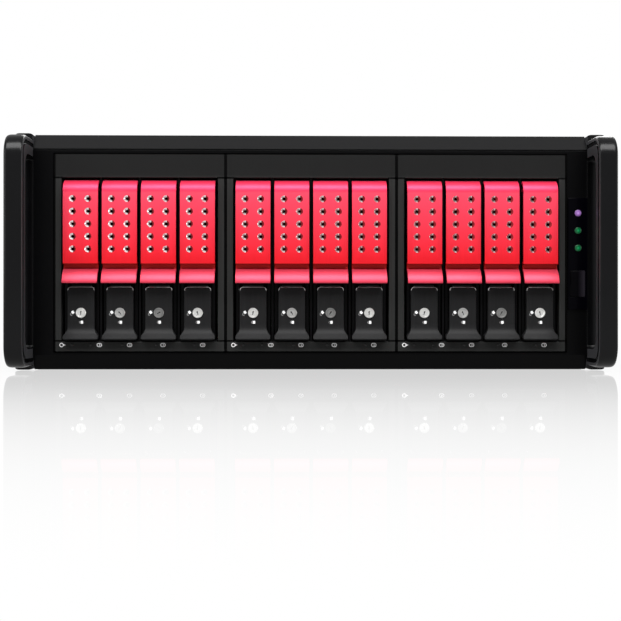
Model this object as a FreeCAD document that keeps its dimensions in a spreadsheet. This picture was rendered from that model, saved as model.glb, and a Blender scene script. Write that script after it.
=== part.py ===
import FreeCAD, Part
import math
import os

from FreeCAD import Rotation, Vector
import Sketcher

# Disk shelf enclosure: a 4U cabinet with three upright hot-swap cages of four drive trays each.
# Millimetres. +X is the shelf's right seen from the front, the front faces -Y, +Z is up.
# Every piece is drawn with y measured from the bezel's front face, positive towards the rear,
# and with z measured from the floor; one placement then moves it to the document's origin,
# which is the middle of the base.

CAGES = 3
BAYS_PER_CAGE = 4
FAN_BLADES = 7
HUB_SIDES = 14
LENS_SIDES = 16
PIN_SIDES = 8
STRIP_LIGHTS = (12.1, 26.1, 49.7, 75, 103.7)

SIZES = {
    # bezel: a drawn channel with a sloped top and bottom, open to the rear
    "bezel_side": 15.8, "head_land": 3.6, "foot_land": 2.2, "bezel_lift": 0.4, "bezel_deep": 13.5,
    "bezel_wall": 3,
    "top_slope_high": 11.5, "top_slope_deep": 9, "bottom_slope_high": 11, "bottom_slope_deep": 6,
    "seam_groove": 0.8,
    # handles at the two ends of the bezel
    "handle_wide": 13.3, "handle_reach": 38, "handle_lift": 3, "handle_drop": 4.3,
    "handle_corner": 16, "handle_edge": 1.6, "grip_deep": 13.5, "leg_high": 14, "finger_back": 6,
    # sheet-metal body
    "body_overhang": 0.2, "body_drop": 1, "cable_room": 38.6, "sheet_wall": 1.2, "lap_gap": 0.2,
    "cover_lip": 22, "screw_head": 1.6, "screw_radius": 3.2,
    "frame_plate": 1.5, "frame_inset": 1, "shelf_deep": 190, "wire_margin": 5,
    "rail_hole": 2, "rail_hole_front": 90, "rail_hole_pitch": 240, "rail_hole_rise": 88,
    # drive cages
    "cage_wall": 1, "cage_gap": 0.7, "tray_gap": 2.9, "edge_gap": 1.9, "floor_gap": 1.5, "head_gap": 1.9,
    "stile_wide": 5.75, "strip_high": 7.8, "blank_high": 18, "cage_proud": 1.5,
    "cage_front_deep": 8, "window_gap": 0.4, "rib_wide": 1.5, "rib_high": 4,
    "light_radius": 1, "light_proud": 0.4, "light_rise": 5.3,
    # trays
    "tray_wide": 26, "tray_high": 119.1, "tray_end": 170,
    "seat_gap": 0.3, "drive_high": 101.6, "drive_gap": 0.1, "rail_wall": 1.6, "rail_narrow": 0.5,
    "cheek_wall": 2.4, "face_front": 12, "face_wall": 3, "vent_wide": 16, "vent_margin": 6,
    # pull lever
    "lever_proud": 7, "lever_wall": 2.2, "lever_bend": 9, "lip_high": 11.2, "lip_reach": 5,
    "lip_edge": 1, "lip_curve": 14, "undercut_high": 3, "undercut_deep": 4,
    "pivot_deep": 7, "pivot_drop": 7, "knuckle_side_gap": 0.4,
    "pin_radius": 1.5, "nose_wall": 0.8,
    "hole_radius": 2, "hole_spread": 11.5, "hole_pitch": 9.35, "hole_rows": 5, "hole_drop": 14.3,
    # latch with its key lock
    "latch_high": 40.9, "latch_gap": 1.1, "latch_inset": 3, "latch_corner": 2, "flare_high": 3.2,
    "flare_rise": 5.8, "latch_proud": 3.5, "flare_proud": 8, "flare_curve": 18, "flare_top": 12.6,
    "latch_back": 1, "latch_chamfer": 1.2, "latch_pivot_deep": 5, "latch_pivot_rise": 6.5,
    "latch_knuckle_wide": 16, "latch_pin": 1.2, "cheek_relief": 0.6,
    "lock_radius": 3.8, "lock_rise": 20, "lock_proud": 0.8,
    # fans
    "fan_size": 80, "fan_deep": 25, "fan_wall": 2.5, "fan_room": 6.4, "fan_hub": 17.5, "fan_mount": 4,
    "fan_tip_gap": 1, "fan_run_gap": 0.5, "blade_wall": 1.6, "blade_angle": 38, "blade_root": 5,
    "strut_wide": 3.5, "fan_nose": 12, "fan_nose_proud": 0.4,
    # backplanes
    "board_wall": 1.6, "board_gap": 6, "socket_high": 42, "socket_wide": 6, "socket_deep": 11.5,
    "socket_rise": 17, "board_slot_wide": 12, "board_slot_margin": 14,
    # rear side
    "rear_fan_side": 15.4, "rear_fan_gap": 8, "rear_fan_rise": 118, "grille_slots": 8,
    "grille_slot": 5, "grille_pitch": 8.6, "grille_web": 4, "fan_screw_inset": 4.25,
    "supply_wide": 150, "supply_high": 86, "supply_deep": 140, "supply_side": 5.4, "supply_margin": 8,
    "vent_slots": 8, "vent_slot": 5, "vent_pitch": 9, "vent_left": 62, "vent_land": 16, "vent_deep": 4,
    "inlet_wide": 30, "inlet_high": 23, "inlet_flange": 2.2, "inlet_lip": 1, "inlet_deep": 18,
    "socket_wall": 2.6, "inlet_side": 11, "inlet_rise": 52, "pin_long": 9, "pin_wide": 2, "pin_high": 4,
    "pin_spread": 7, "pin_drop": 2, "pin_rise": 3, "switch_space": 4,
    "switch_wide": 12, "switch_high": 20, "switch_gap": 0.8, "switch_radius": 4,
    "switch_pivot": 4, "switch_proud": 2.2, "switch_tilt": 8,
    "port_wide": 26, "port_high": 10.5, "port_wall": 1.3, "port_deep": 18, "port_flange": 2,
    "port_pitch": 34, "port_side": 30.4, "port_rise": 30, "port_proud": 1, "ports": 4,
    # control panel
    "panel_gap": 1, "panel_edge": 0.3, "panel_lift": 45.4, "panel_high": 83.9,
    "panel_proud": 2, "panel_deep": 10, "panel_inset": 0.6, "panel_fit": 0.2,
    "button_wide": 11.7, "button_high": 19.9, "button_rise": 9.5, "button_proud": 0.7,
    "button_travel": 1.5, "button_crown": 1.2,
    "lamp_radius": 2.5, "lamp_proud": 1, "lamp_drop": 11.9, "lamp_pitch": 12.55,
}

document = FreeCAD.newDocument("DiskShelf")
sheet = document.addObject("Spreadsheet::Sheet", "Sizes")
for row, (alias, value) in enumerate(SIZES.items(), start=1):
    sheet.set(f"A{row}", alias)
    sheet.set(f"B{row}", str(value))
    sheet.setAlias(f"B{row}", alias)
document.recompute()

pieces = []


# ---------------------------------------------------------------- expressions

class Size:
    """An expression on the sheet's cells, built up with plain arithmetic."""

    def __init__(self, text):
        self.text = str(text)

    def __str__(self):
        return self.text

    def __add__(self, other):
        return Size(f"({self.text} + {other})")

    def __radd__(self, other):
        return Size(f"({other} + {self.text})")

    def __sub__(self, other):
        return Size(f"({self.text} - {other})")

    def __rsub__(self, other):
        return Size(f"({other} - {self.text})")

    def __mul__(self, other):
        return Size(f"({self.text} * {other})")

    def __rmul__(self, other):
        return Size(f"({other} * {self.text})")

    def __truediv__(self, other):
        return Size(f"({self.text} / {other})")

    def __neg__(self):
        return Size(f"(0 - {self.text})")

    def value(self):
        return float(sheet.evalExpression(self.text))


class Sheet:
    """Gives each alias of the sheet as an expression: size.tray_wide."""

    def __getattr__(self, alias):
        return Size(f"Sizes.{alias}")


size = Sheet()


def number(length):
    return length.value() if isinstance(length, Size) else float(length)


# levels and planes that several pieces share, from the trays outwards
TRAY_PITCH = size.tray_wide + size.tray_gap
WINDOW_HALF = (TRAY_PITCH * BAYS_PER_CAGE - size.tray_gap) / 2 + size.edge_gap
CAGE_WIDE = (WINDOW_HALF + size.stile_wide) * 2
CAGES_HALF = CAGE_WIDE * CAGES / 2
BEZEL_WIDE = (CAGES_HALF + size.bezel_side) * 2
BODY_WIDE = BEZEL_WIDE + size.body_overhang * 2
CAGE_LOW = size.bezel_lift + size.bottom_slope_high + size.foot_land
WINDOW_LOW = CAGE_LOW + size.strip_high
TRAY_LOW = WINDOW_LOW + size.floor_gap
TRAY_TOP = TRAY_LOW + size.tray_high
WINDOW_TOP = TRAY_TOP + size.head_gap
CAGE_TOP = WINDOW_TOP + size.blank_high
BEZEL_TOP = CAGE_TOP + size.head_land + size.top_slope_high
BODY_HIGH = BEZEL_TOP - size.body_drop
HANDLE_TOP = BEZEL_TOP - size.handle_drop
BOARD_FRONT = size.tray_end + size.board_gap
CAGE_DEEP = BOARD_FRONT + size.board_wall + size.fan_room + size.fan_deep + size.cage_wall
REAR_WALL = CAGE_DEEP + size.cable_room + size.supply_deep + size.lap_gap
BODY_DEEP = REAR_WALL + size.sheet_wall
FRONT_PLANE = (size.handle_reach - BODY_DEEP - size.screw_head) / 2
DRIVE_MIDDLE = TRAY_LOW + size.tray_high / 2
LEVER_LOW = TRAY_LOW + size.latch_high + size.latch_gap
LEVER_STEP = LEVER_LOW + size.lip_high + size.undercut_high
PIVOT_Y = size.pivot_deep - size.lever_proud
PIVOT_Z = TRAY_TOP - size.pivot_drop
LATCH_PIVOT_Z = TRAY_LOW + size.latch_pivot_rise
TUB_HALF = BODY_WIDE / 2 - size.sheet_wall - size.lap_gap
TUB_INSIDE = TUB_HALF - size.sheet_wall
TUB_TOP = BODY_HIGH - size.sheet_wall - size.lap_gap
FAN_MIDDLE = DRIVE_MIDDLE
FAN_BORE = size.fan_size / 2 - size.fan_wall
REAR_FAN_LEFT = size.rear_fan_side + size.fan_size / 2 - TUB_INSIDE
REAR_FANS = (REAR_FAN_LEFT, REAR_FAN_LEFT + size.fan_size + size.rear_fan_gap)
SHELL_HALF = CAGE_WIDE / 2 - size.cage_gap
SHELL_LOW = CAGE_LOW + size.cage_gap
SHELL_TOP = CAGE_TOP - size.cage_gap
DECK_LOW = TRAY_LOW - size.window_gap / 2
DECK_TOP = TRAY_TOP + size.window_gap / 2
PLATE_FRONT = size.bezel_deep - size.frame_plate
SUPPLY_LOW = size.sheet_wall + size.seat_gap
SUPPLY_RIGHT = TUB_INSIDE - size.supply_side
SUPPLY_LEFT = SUPPLY_RIGHT - size.supply_wide
INLET_MIDDLE = SUPPLY_LEFT + size.inlet_side + size.inlet_wide / 2
PANEL_LEFT = CAGES_HALF + size.panel_gap
PANEL_RIGHT = BEZEL_WIDE / 2 - size.panel_edge
PANEL_TOP = size.panel_lift + size.panel_high
BUTTON_MIDDLE = (PANEL_LEFT + PANEL_RIGHT) / 2
BUTTON_LOW = size.panel_lift + size.button_rise


# ---------------------------------------------------------------- building blocks

def bind(item, prop, length):
    item.setExpression(prop, str(length))


def place(item, x=0, y=0, z=0):
    for axis, length in zip("xyz", (x, y, z)):
        bind(item, f"Placement.Base.{axis}", length)
    return item


def box(name, x, y, z):
    """A box between two bounds along each axis."""
    item = document.addObject("Part::Box", name)
    for prop, (low, high) in zip(("Length", "Width", "Height"), (x, y, z)):
        bind(item, prop, Size(high) - Size(low))
    return place(item, x[0], y[0], z[0])


def rod(name, axis, radius, along, x=0, y=0, z=0):
    """A cylinder along X or Y between the two bounds given by along."""
    item = document.addObject("Part::Cylinder", name)
    bind(item, "Radius", radius)
    bind(item, "Height", Size(along[1]) - Size(along[0]))
    if axis == "X":
        item.Placement.Rotation = Rotation(Vector(0, 1, 0), 90)
        return place(item, along[0], y, z)
    item.Placement.Rotation = Rotation(Vector(1, 0, 0), -90)
    return place(item, x, along[0], z)


def prism(name, axis, radius, sides, along, x=0, y=0, z=0):
    """A regular prism along X or Y; radius is measured to its corners."""
    item = document.addObject("Part::Prism", name)
    item.Polygon = sides
    bind(item, "Circumradius", radius)
    bind(item, "Height", Size(along[1]) - Size(along[0]))
    if axis == "X":
        item.Placement.Rotation = Rotation(Vector(0, 1, 0), 90)
        return place(item, along[0], y, z)
    item.Placement.Rotation = Rotation(Vector(1, 0, 0), -90)
    return place(item, x, along[0], z)


def fuse(name, shapes):
    item = document.addObject("Part::MultiFuse", name)
    item.Shapes = shapes
    item.Refine = True
    return item


def cut(name, base, tools):
    item = document.addObject("Part::Cut", name)
    item.Base = base
    item.Tool = tools[0] if len(tools) == 1 else fuse(f"{name}_tools", tools)
    item.Refine = True
    return item


def group(name, shapes):
    item = document.addObject("Part::Compound", name)
    item.Links = shapes
    return item


def copy_at(name, master, x=0, y=0, z=0):
    return place(group(name, [master]), x, y, z)


def keep(label, item, x=0, y=0, z=0):
    """Labels a finished piece, moves it from the drawing's origin to the shelf's and lists it."""
    item.Label = label
    place(item, x, Size(y) + FRONT_PLANE, z)
    pieces.append(item)
    return item


def origin_plane(body, role):
    return next(plane for plane in body.Origin.OriginFeatures if plane.Role == role)


def arc_between(start, end, radius):
    """An arc from start to end; a positive radius bends to the left of the way, a negative to the right."""
    chord = end - start
    half = chord.Length / 2
    side = Vector(-chord.y, chord.x, 0).normalize()
    rise = math.sqrt(max(radius * radius - half * half, 0))
    sign = 1 if radius > 0 else -1
    centre = (start + end) / 2 + side * (sign * rise)
    circle = Part.Circle(centre, Vector(0, 0, 1), abs(radius))
    first, last = circle.parameter(start), circle.parameter(end)
    return Part.ArcOfCircle(circle, first, last) if radius > 0 else Part.ArcOfCircle(circle, last, first)


def sketch(body, name, role, loops, offset=0):
    """
    A fully constrained sketch on an origin plane of the body, moved along its normal by offset.
    A loop is a list of corners (h, v); a corner with a third value is reached by an arc of that
    radius. A loop that is a tuple (h, v, radius) is a circle.
    """
    item = body.newObject("Sketcher::SketchObject", name)
    item.AttachmentSupport = [(origin_plane(body, role), "")]
    item.MapMode = "FlatFace"
    bind(item, "AttachmentOffset.Base.z", offset)
    for loop in loops:
        if isinstance(loop, tuple):
            add_circle(item, *loop)
        else:
            add_outline(item, loop)
    return item


def add_circle(item, h, v, radius):
    circle = Part.Circle(Vector(number(h), number(v), 0), Vector(0, 0, 1), number(radius))
    index = item.addGeometry(circle, False)
    fix_point(item, index, 3, h, v)
    limit(item, Sketcher.Constraint("Radius", index, number(radius)), radius)


def limit(item, constraint, length):
    index = item.addConstraint(constraint)
    bind(item, f"Constraints[{index}]", length)


def fix_point(item, index, point, h, v):
    limit(item, Sketcher.Constraint("DistanceX", index, point, number(h)), h)
    limit(item, Sketcher.Constraint("DistanceY", index, point, number(v)), v)


def add_outline(item, corners):
    points = [Vector(number(corner[0]), number(corner[1]), 0) for corner in corners]
    links = []
    for index, corner in enumerate(corners):
        start, end = points[index - 1], points[index]
        if len(corner) == 2:
            edge = item.addGeometry(Part.LineSegment(start, end), False)
            links.append((edge, 1, 2))
        else:
            radius = number(corner[2])
            edge = item.addGeometry(arc_between(start, end, radius), False)
            links.append((edge, 1, 2) if radius > 0 else (edge, 2, 1))
            bend = corner[2] if radius > 0 else -Size(corner[2])
            limit(item, Sketcher.Constraint("Radius", edge, abs(radius)), bend)
    for index, corner in enumerate(corners):
        edge, _, last = links[index]
        following, first, _ = links[(index + 1) % len(corners)]
        item.addConstraint(Sketcher.Constraint("Coincident", edge, last, following, first))
        fix_point(item, edge, last, corner[0], corner[1])


def feature(body, kind, name, profile, length, reverse=False):
    item = body.newObject(f"PartDesign::{kind}", name)
    item.Profile = profile
    item.Reversed = reverse
    bind(item, "Length", length)
    return item


def pad_across(body, name, loops, half_width):
    """Pads a side view (y, z) across X, the same distance to each side."""
    profile = sketch(body, f"{name}_view", "YZ_Plane", loops, -Size(half_width))
    return feature(body, "Pad", name, profile, Size(half_width) * 2)


def cut_across(body, name, loops, half_width):
    """Cuts a side view (y, z) across X, the same distance to each side."""
    profile = sketch(body, f"{name}_view", "YZ_Plane", loops, -Size(half_width))
    return feature(body, "Pocket", name, profile, Size(half_width) * 2, reverse=True)


def pad_back(body, name, loops, front, rear):
    """Pads a front view (x, z) from one depth to another."""
    profile = sketch(body, f"{name}_view", "XZ_Plane", loops, -Size(rear))
    return feature(body, "Pad", name, profile, Size(rear) - Size(front))


def cut_back(body, name, loops, front, rear):
    """Cuts a front view (x, z) from one depth to another."""
    profile = sketch(body, f"{name}_view", "XZ_Plane", loops, -Size(rear))
    return feature(body, "Pocket", name, profile, Size(rear) - Size(front), reverse=True)


def rectangle(x, z):
    return [(x[0], z[0]), (x[1], z[0]), (x[1], z[1]), (x[0], z[1])]


def new_body(name):
    return document.addObject("PartDesign::Body", name)


def both_ways(half):
    return (-Size(half), Size(half))


def around(middle, whole):
    return (Size(middle) - Size(whole) / 2, Size(middle) + Size(whole) / 2)


# ---------------------------------------------------------------- cabinet

def make_bezel():
    top, low = Size(BEZEL_TOP), Size(size.bezel_lift)
    shoulder, foot = top - size.top_slope_high, low + size.bottom_slope_high
    wall, deep = size.bezel_wall, size.bezel_deep
    body = new_body("Bezel")
    pad_across(body, "Channel", [[
        (deep, low), (size.bottom_slope_deep, low), (0, foot), (0, shoulder - size.seam_groove),
        (size.seam_groove, shoulder - size.seam_groove), (size.seam_groove, shoulder),
        (0, shoulder), (size.top_slope_deep, top), (deep, top), (deep, top - wall),
        (size.top_slope_deep + wall / 2, top - wall), (wall, shoulder - wall / 4),
        (wall, foot + wall / 4), (size.bottom_slope_deep + wall / 2, low + wall), (deep, low + wall),
    ]], BEZEL_WIDE / 2)
    cages = rectangle(both_ways(CAGES_HALF + size.window_gap),
                      (CAGE_LOW - size.window_gap, CAGE_TOP + size.window_gap))
    cut_back(body, "CageWindow", [cages], -1, wall + 1)
    cut_back(body, "PanelWindow", [rectangle(*panel_body_bounds(size.panel_fit))], -1, wall + 1)
    return keep("front_bezel", body)


def make_handle(label, side):
    """A bow handle: a rounded D in side view with a finger opening, softened along its edges."""
    low, top = Size(size.handle_lift), HANDLE_TOP
    front, corner = -size.handle_reach, size.handle_corner
    inner = corner - size.grip_deep / 2
    body = new_body(label.title().replace("_", ""))
    opening_low, opening_top = low + size.leg_high, top - size.leg_high
    opening_front = front + size.grip_deep
    opening_rear = -Size(size.finger_back)
    pad = pad_across(body, "Bow", [
        [(PLATE_FRONT, low), (PLATE_FRONT, top), (front + corner, top), (front, top - corner, corner),
         (front, low + corner), (front + corner, low, corner)],
        [(opening_rear, opening_low), (opening_front + inner, opening_low),
         (opening_front, opening_low + inner, -inner), (opening_front, opening_top - inner),
         (opening_front + inner, opening_top, -inner), (opening_rear, opening_top)],
    ], size.handle_wide / 2)
    document.recompute()
    rim = rim_edges(pad.Shape, number(PLATE_FRONT))
    edges = body.newObject("PartDesign::Chamfer", "SoftEdges")
    edges.Base = (pad, rim)
    bind(edges, "Size", size.handle_edge)
    return keep(label, body, (BEZEL_WIDE + size.handle_wide) / 2 * side)


def rim_edges(shape, rear):
    """The names of the outer edges of a padded side view, on its two cheeks, off the rear face."""
    names = []
    for index, edge in enumerate(shape.Edges, start=1):
        bounds = edge.BoundBox
        flat = bounds.XLength < 1e-6
        outer = bounds.ZMin < number(size.handle_lift) + number(size.handle_corner) + 1e-6 or \
            bounds.ZMax > number(HANDLE_TOP - size.handle_corner) - 1e-6
        if flat and outer and bounds.YMin < rear - 1e-6 and on_outline(edge):
            names.append(f"Edge{index}")
    return names


def on_outline(edge):
    """Whether an edge of the handle lies on its outer outline, not on the finger opening."""
    middle = edge.valueAt((edge.FirstParameter + edge.LastParameter) / 2)
    low, high = number(size.handle_lift), number(HANDLE_TOP)
    corner = number(size.handle_corner)
    front = -number(size.handle_reach)
    near_end = min(middle.z - low, high - middle.z) < 1e-6
    near_front = abs(middle.y - front) < 1e-6
    in_corner = edge.Curve.TypeId == "Part::GeomCircle" and abs(edge.Curve.Radius - corner) < 1e-6
    return near_end or near_front or in_corner


def make_bay_frame():
    """The steel frame behind the bezel: ears for the handles and a shelf under the cages."""
    half = CAGES_HALF
    low, top = SHELL_LOW - size.seat_gap, SHELL_TOP + size.seat_gap
    rear, wall = size.bezel_deep + size.shelf_deep, size.frame_plate
    plate_high = (size.handle_lift + size.frame_inset, HANDLE_TOP - size.frame_inset)
    plate = box("FramePlate", both_ways(BEZEL_WIDE / 2 + size.handle_wide),
                (PLATE_FRONT, size.bezel_deep), plate_high)
    window = box("FrameWindow", both_ways(half), (PLATE_FRONT - 1, size.bezel_deep + 1), (low, top))
    margin = size.wire_margin
    wires = box("WireWindow", (PANEL_LEFT + margin / 2, PANEL_RIGHT - margin / 2),
                (PLATE_FRONT - 1, size.bezel_deep + 1), (size.panel_lift + margin, PANEL_TOP - margin))
    shelf = box("Shelf", both_ways(half), (size.bezel_deep, rear), (low - wall, low))
    strap = box("Strap", both_ways(half), (size.bezel_deep, rear), (top, top + wall))
    legs = [box(f"ShelfLeg{index}", bounds, (size.bezel_deep, rear), (SUPPLY_LOW, low - wall))
            for index, bounds in enumerate(((-half, wall - half), (half - wall, half)), start=1)]
    face = cut("FrameFace", plate, [window, wires])
    return keep("bay_frame", fuse("BayFrame", [face, shelf, strap] + legs))


def make_tub():
    """Floor, sides and rear wall in one folded sheet, with the rear side's cut-outs."""
    wall, half, top = size.sheet_wall, TUB_HALF, TUB_TOP
    outer, inner = both_ways(half), both_ways(half - wall)
    body = new_body("Tub")
    pad_back(body, "Trough", [[
        (outer[0], 0), (outer[1], 0), (outer[1], top), (inner[1], top), (inner[1], wall),
        (inner[0], wall), (inner[0], top), (outer[0], top),
    ]], size.bezel_deep, REAR_WALL)
    pad_back(body, "RearWall", [rectangle(outer, (0, top))], REAR_WALL, BODY_DEEP)
    margin = size.supply_margin
    supply = rectangle((SUPPLY_LEFT + margin, SUPPLY_RIGHT - margin),
                       (SUPPLY_LOW + margin, SUPPLY_LOW + size.supply_high - margin))
    ports = [rectangle(around(port_middle(index), size.port_wide + 2 * size.lap_gap),
                       around(size.port_rise, size.port_high + 2 * size.lap_gap))
             for index in range(SIZES["ports"])]
    cut_back(body, "Sockets", [supply] + ports, REAR_WALL - 1, BODY_DEEP + 1)
    for x in REAR_FANS:
        cut_back(body, "Grille", fan_grille(x, size.rear_fan_rise),
                 REAR_WALL - 1, BODY_DEEP + 1)
    holes = [(size.rail_hole_front + size.rail_hole_pitch * along, size.rail_hole_rise, size.rail_hole)
             for along in (0, 1)]
    cut_across(body, "RailHoles", holes, half + 1)
    return keep("chassis_tub", body)


def fan_grille(x, z):
    """Level slots in front of a fan, each as long as the fan's round bore is wide at its height."""
    loops = []
    count = SIZES["grille_slots"]
    for index in range(count):
        rise = size.grille_pitch * (index - (count - 1) / 2)
        half = circle_reach(FAN_BORE - size.grille_web / 2, rise)
        loops.append(rectangle(around(x, half * 2), around(z + rise, size.grille_slot)))
    return loops


def circle_reach(radius, offset):
    return Size(f"sqrt({radius} * {radius} - {offset} * {offset})")


def make_cover():
    wall, half, top = size.sheet_wall, BODY_WIDE / 2, BODY_HIGH
    body = new_body("Cover")
    pad_back(body, "Lid", [[
        (-half, top - size.cover_lip), (-half, top), (half, top), (half, top - size.cover_lip),
        (half - wall, top - size.cover_lip), (half - wall, top - wall), (wall - half, top - wall),
        (wall - half, top - size.cover_lip),
    ]], size.bezel_deep, BODY_DEEP)
    return keep("top_cover", body)


def screw_head(name, axis, along, x=0, y=0, z=0):
    return prism(name, axis, size.screw_radius, 6, along, x, y, z)


def make_handle_screws():
    ear = (BEZEL_WIDE + size.handle_wide) / 2
    heights = (size.handle_lift + size.leg_high / 2,
               HANDLE_TOP - size.leg_high / 2)
    heads = [screw_head(f"HandleScrew{side}{index}", "Y",
                        (size.bezel_deep, size.bezel_deep + size.screw_head), x=ear * side, z=z)
             for side in (-1, 1) for index, z in enumerate(heights)]
    return keep("handle_screws", group("HandleScrews", heads))


def make_case_screws():
    """Pan heads: the power supply's and fans' on the rear wall, and the cover's on its two lips."""
    rear = (BODY_DEEP, BODY_DEEP + size.screw_head)
    heads = []
    for index, (h, v) in enumerate(((0, 0), (1, 0), (1, 1), (0, 1))):
        x = SUPPLY_LEFT + size.supply_margin / 2 + (size.supply_wide - size.supply_margin) * h
        z = SUPPLY_LOW + size.supply_margin / 2 + (size.supply_high - size.supply_margin) * v
        heads.append(screw_head(f"SupplyScrew{index}", "Y", rear, x=x, z=z))
    reach = size.fan_size / 2 - size.fan_screw_inset
    for x in REAR_FANS:
        for corner in (-1, 1):
            heads.append(screw_head(f"FanScrew{len(heads)}", "Y", rear,
                                    x=x + reach * corner, z=size.rear_fan_rise + reach * corner))
    side_wall = BODY_WIDE / 2
    for y in (size.rail_hole_front, size.rail_hole_front + size.rail_hole_pitch):
        z = BODY_HIGH - size.cover_lip / 2
        heads.append(screw_head(f"CoverScrew{len(heads)}", "X", (side_wall, side_wall + size.screw_head),
                                y=y, z=z))
        heads.append(screw_head(f"CoverScrew{len(heads)}", "X", (-side_wall - size.screw_head, -side_wall),
                                y=y, z=z))
    return keep("case_screws", group("CaseScrews", heads))


# ---------------------------------------------------------------- cages

def cage_middle(cage):
    return CAGE_WIDE * (cage - (CAGES - 1) / 2)


def bay_middle(cage, bay):
    return cage_middle(cage) + TRAY_PITCH * (bay - (BAYS_PER_CAGE - 1) / 2)


def make_cage_frames():
    """The moulded front of each cage: stiles, a blank strip above and the lamp strip below."""
    half = CAGE_WIDE / 2 - size.lap_gap / 2
    outer = box("FrameOuter", both_ways(half), (-Size(size.cage_proud), size.cage_front_deep),
                (CAGE_LOW, CAGE_TOP))
    window = box("BayWindow", both_ways(WINDOW_HALF), (-Size(size.cage_proud) - 1, size.cage_front_deep + 1),
                 (WINDOW_LOW, WINDOW_TOP))
    master = cut("CageFront", outer, [window])
    copies = [copy_at(f"CageFront{cage}", master, x=cage_middle(cage)) for cage in range(CAGES)]
    return keep("cage_frames", group("CageFronts", copies))


def make_cage_shells():
    """Folded sheet boxes with two decks for the trays, guide ribs and a fan plate at the rear."""
    wall, half = size.cage_wall, SHELL_HALF
    front, rear = size.cage_front_deep, CAGE_DEEP
    shell = box("ShellOuter", both_ways(half), (front, rear), (SHELL_LOW, SHELL_TOP))
    inside = both_ways(half - wall)
    plate = rear - wall
    spaces = [
        box("LowerDuct", inside, (front - 1, plate), (SHELL_LOW + wall, DECK_LOW - wall)),
        box("TrayChamber", inside, (front - 1, plate), (DECK_LOW, DECK_TOP)),
        box("UpperDuct", inside, (front - 1, plate), (DECK_TOP + wall, SHELL_TOP - wall)),
        box("FanOpening", both_ways(FAN_BORE), (plate - 1, rear + 1), around(FAN_MIDDLE, FAN_BORE * 2)),
    ]
    ribs = []
    for bay in range(1, BAYS_PER_CAGE):
        x = around(TRAY_PITCH * (bay - BAYS_PER_CAGE / 2), size.rib_wide)
        deep = (front, size.tray_end)
        ribs.append(box(f"LowRib{bay}", x, deep, (DECK_LOW, DECK_LOW + size.rib_high)))
        ribs.append(box(f"TopRib{bay}", x, deep, (DECK_TOP - size.rib_high, DECK_TOP)))
    master = fuse("CageShell", [cut("ShellBox", shell, spaces)] + ribs)
    copies = [copy_at(f"CageShell{cage}", master, x=cage_middle(cage)) for cage in range(CAGES)]
    return keep("cage_shells", group("CageShells", copies))


def make_backplanes():
    """One board per cage with a drive socket for each bay and air slots between the sockets."""
    deep = (BOARD_FRONT, BOARD_FRONT + size.board_wall)
    low, top = DECK_LOW + size.seat_gap, DECK_TOP - size.seat_gap
    board = box("Board", both_ways(SHELL_HALF - size.cage_wall - size.seat_gap), deep, (low, top))
    slots, sockets = [], []
    for bay in range(BAYS_PER_CAGE):
        x = TRAY_PITCH * (bay - (BAYS_PER_CAGE - 1) / 2)
        socket_low = low + size.socket_rise
        sockets.append(box(f"DriveSocket{bay}", around(x, size.socket_wide),
                           (BOARD_FRONT - size.socket_deep, BOARD_FRONT),
                           (socket_low, socket_low + size.socket_high)))
        slots.append(box(f"AirSlot{bay}", around(x, size.board_slot_wide), (deep[0] - 1, deep[1] + 1),
                         (socket_low + size.socket_high + size.board_slot_margin / 2,
                          top - size.board_slot_margin)))
    master = fuse("Backplane", [cut("BoardPlate", board, slots)] + sockets)
    copies = [copy_at(f"Backplane{cage}", master, x=cage_middle(cage)) for cage in range(CAGES)]
    return keep("backplanes", group("Backplanes", copies))


# ---------------------------------------------------------------- fans

def make_fan_frame():
    """A square fan housing with a round bore, a motor mount and struts on its rear side."""
    deep, half = size.fan_deep, size.fan_size / 2
    housing = box("FanHousing", both_ways(half), (0, deep), both_ways(half))
    bore = rod("FanBore", "Y", FAN_BORE, (-1, deep + 1))
    mount = prism("MotorMount", "Y", size.fan_hub, HUB_SIDES, (deep - size.fan_mount, deep))
    struts = [box("StrutAcross", both_ways(FAN_BORE + 1), (deep - size.fan_mount, deep),
                  both_ways(size.strut_wide / 2)),
              box("StrutUp", both_ways(size.strut_wide / 2), (deep - size.fan_mount, deep),
                  both_ways(FAN_BORE + 1))]
    return fuse("FanFrame", [cut("FanRing", housing, [bore]), mount] + struts)


def make_fan_rotor():
    """A hub with pitched blades whose corners clear the housing's bore."""
    deep = size.fan_deep - size.fan_mount - size.fan_run_gap
    root, tip = size.fan_hub - size.fan_run_gap - size.blade_root, FAN_BORE - size.fan_tip_gap
    chord = deep - size.fan_run_gap
    corner = chord / 2 * math.sin(math.radians(SIZES["blade_angle"])) + size.blade_wall
    length = circle_reach(tip, corner) - root
    middle = (deep + size.fan_run_gap) / 2
    front = size.fan_run_gap + size.fan_nose_proud
    hub = prism("RotorHub", "Y", size.fan_hub - size.fan_run_gap, HUB_SIDES, (front, deep))
    nose = rod("RotorNose", "Y", size.fan_nose, (size.fan_run_gap, front))
    blades = []
    for blade in range(FAN_BLADES):
        item = document.addObject("Part::Box", f"Blade{blade}")
        bind(item, "Length", length)
        bind(item, "Width", chord)
        bind(item, "Height", size.blade_wall)
        pitch = Rotation(Vector(1, 0, 0), number(size.blade_angle))
        turn = Rotation(Vector(0, 1, 0), 360 / FAN_BLADES * blade).multiply(pitch)
        item.Placement.Rotation = turn
        corner_of_box = Vector(number(root), -number(chord) / 2, -number(size.blade_wall) / 2)
        item.Placement.Base = turn.multVec(corner_of_box) + Vector(0, number(middle), 0)
        blades.append(item)
    return fuse("Rotor", [hub, nose] + blades)


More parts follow.
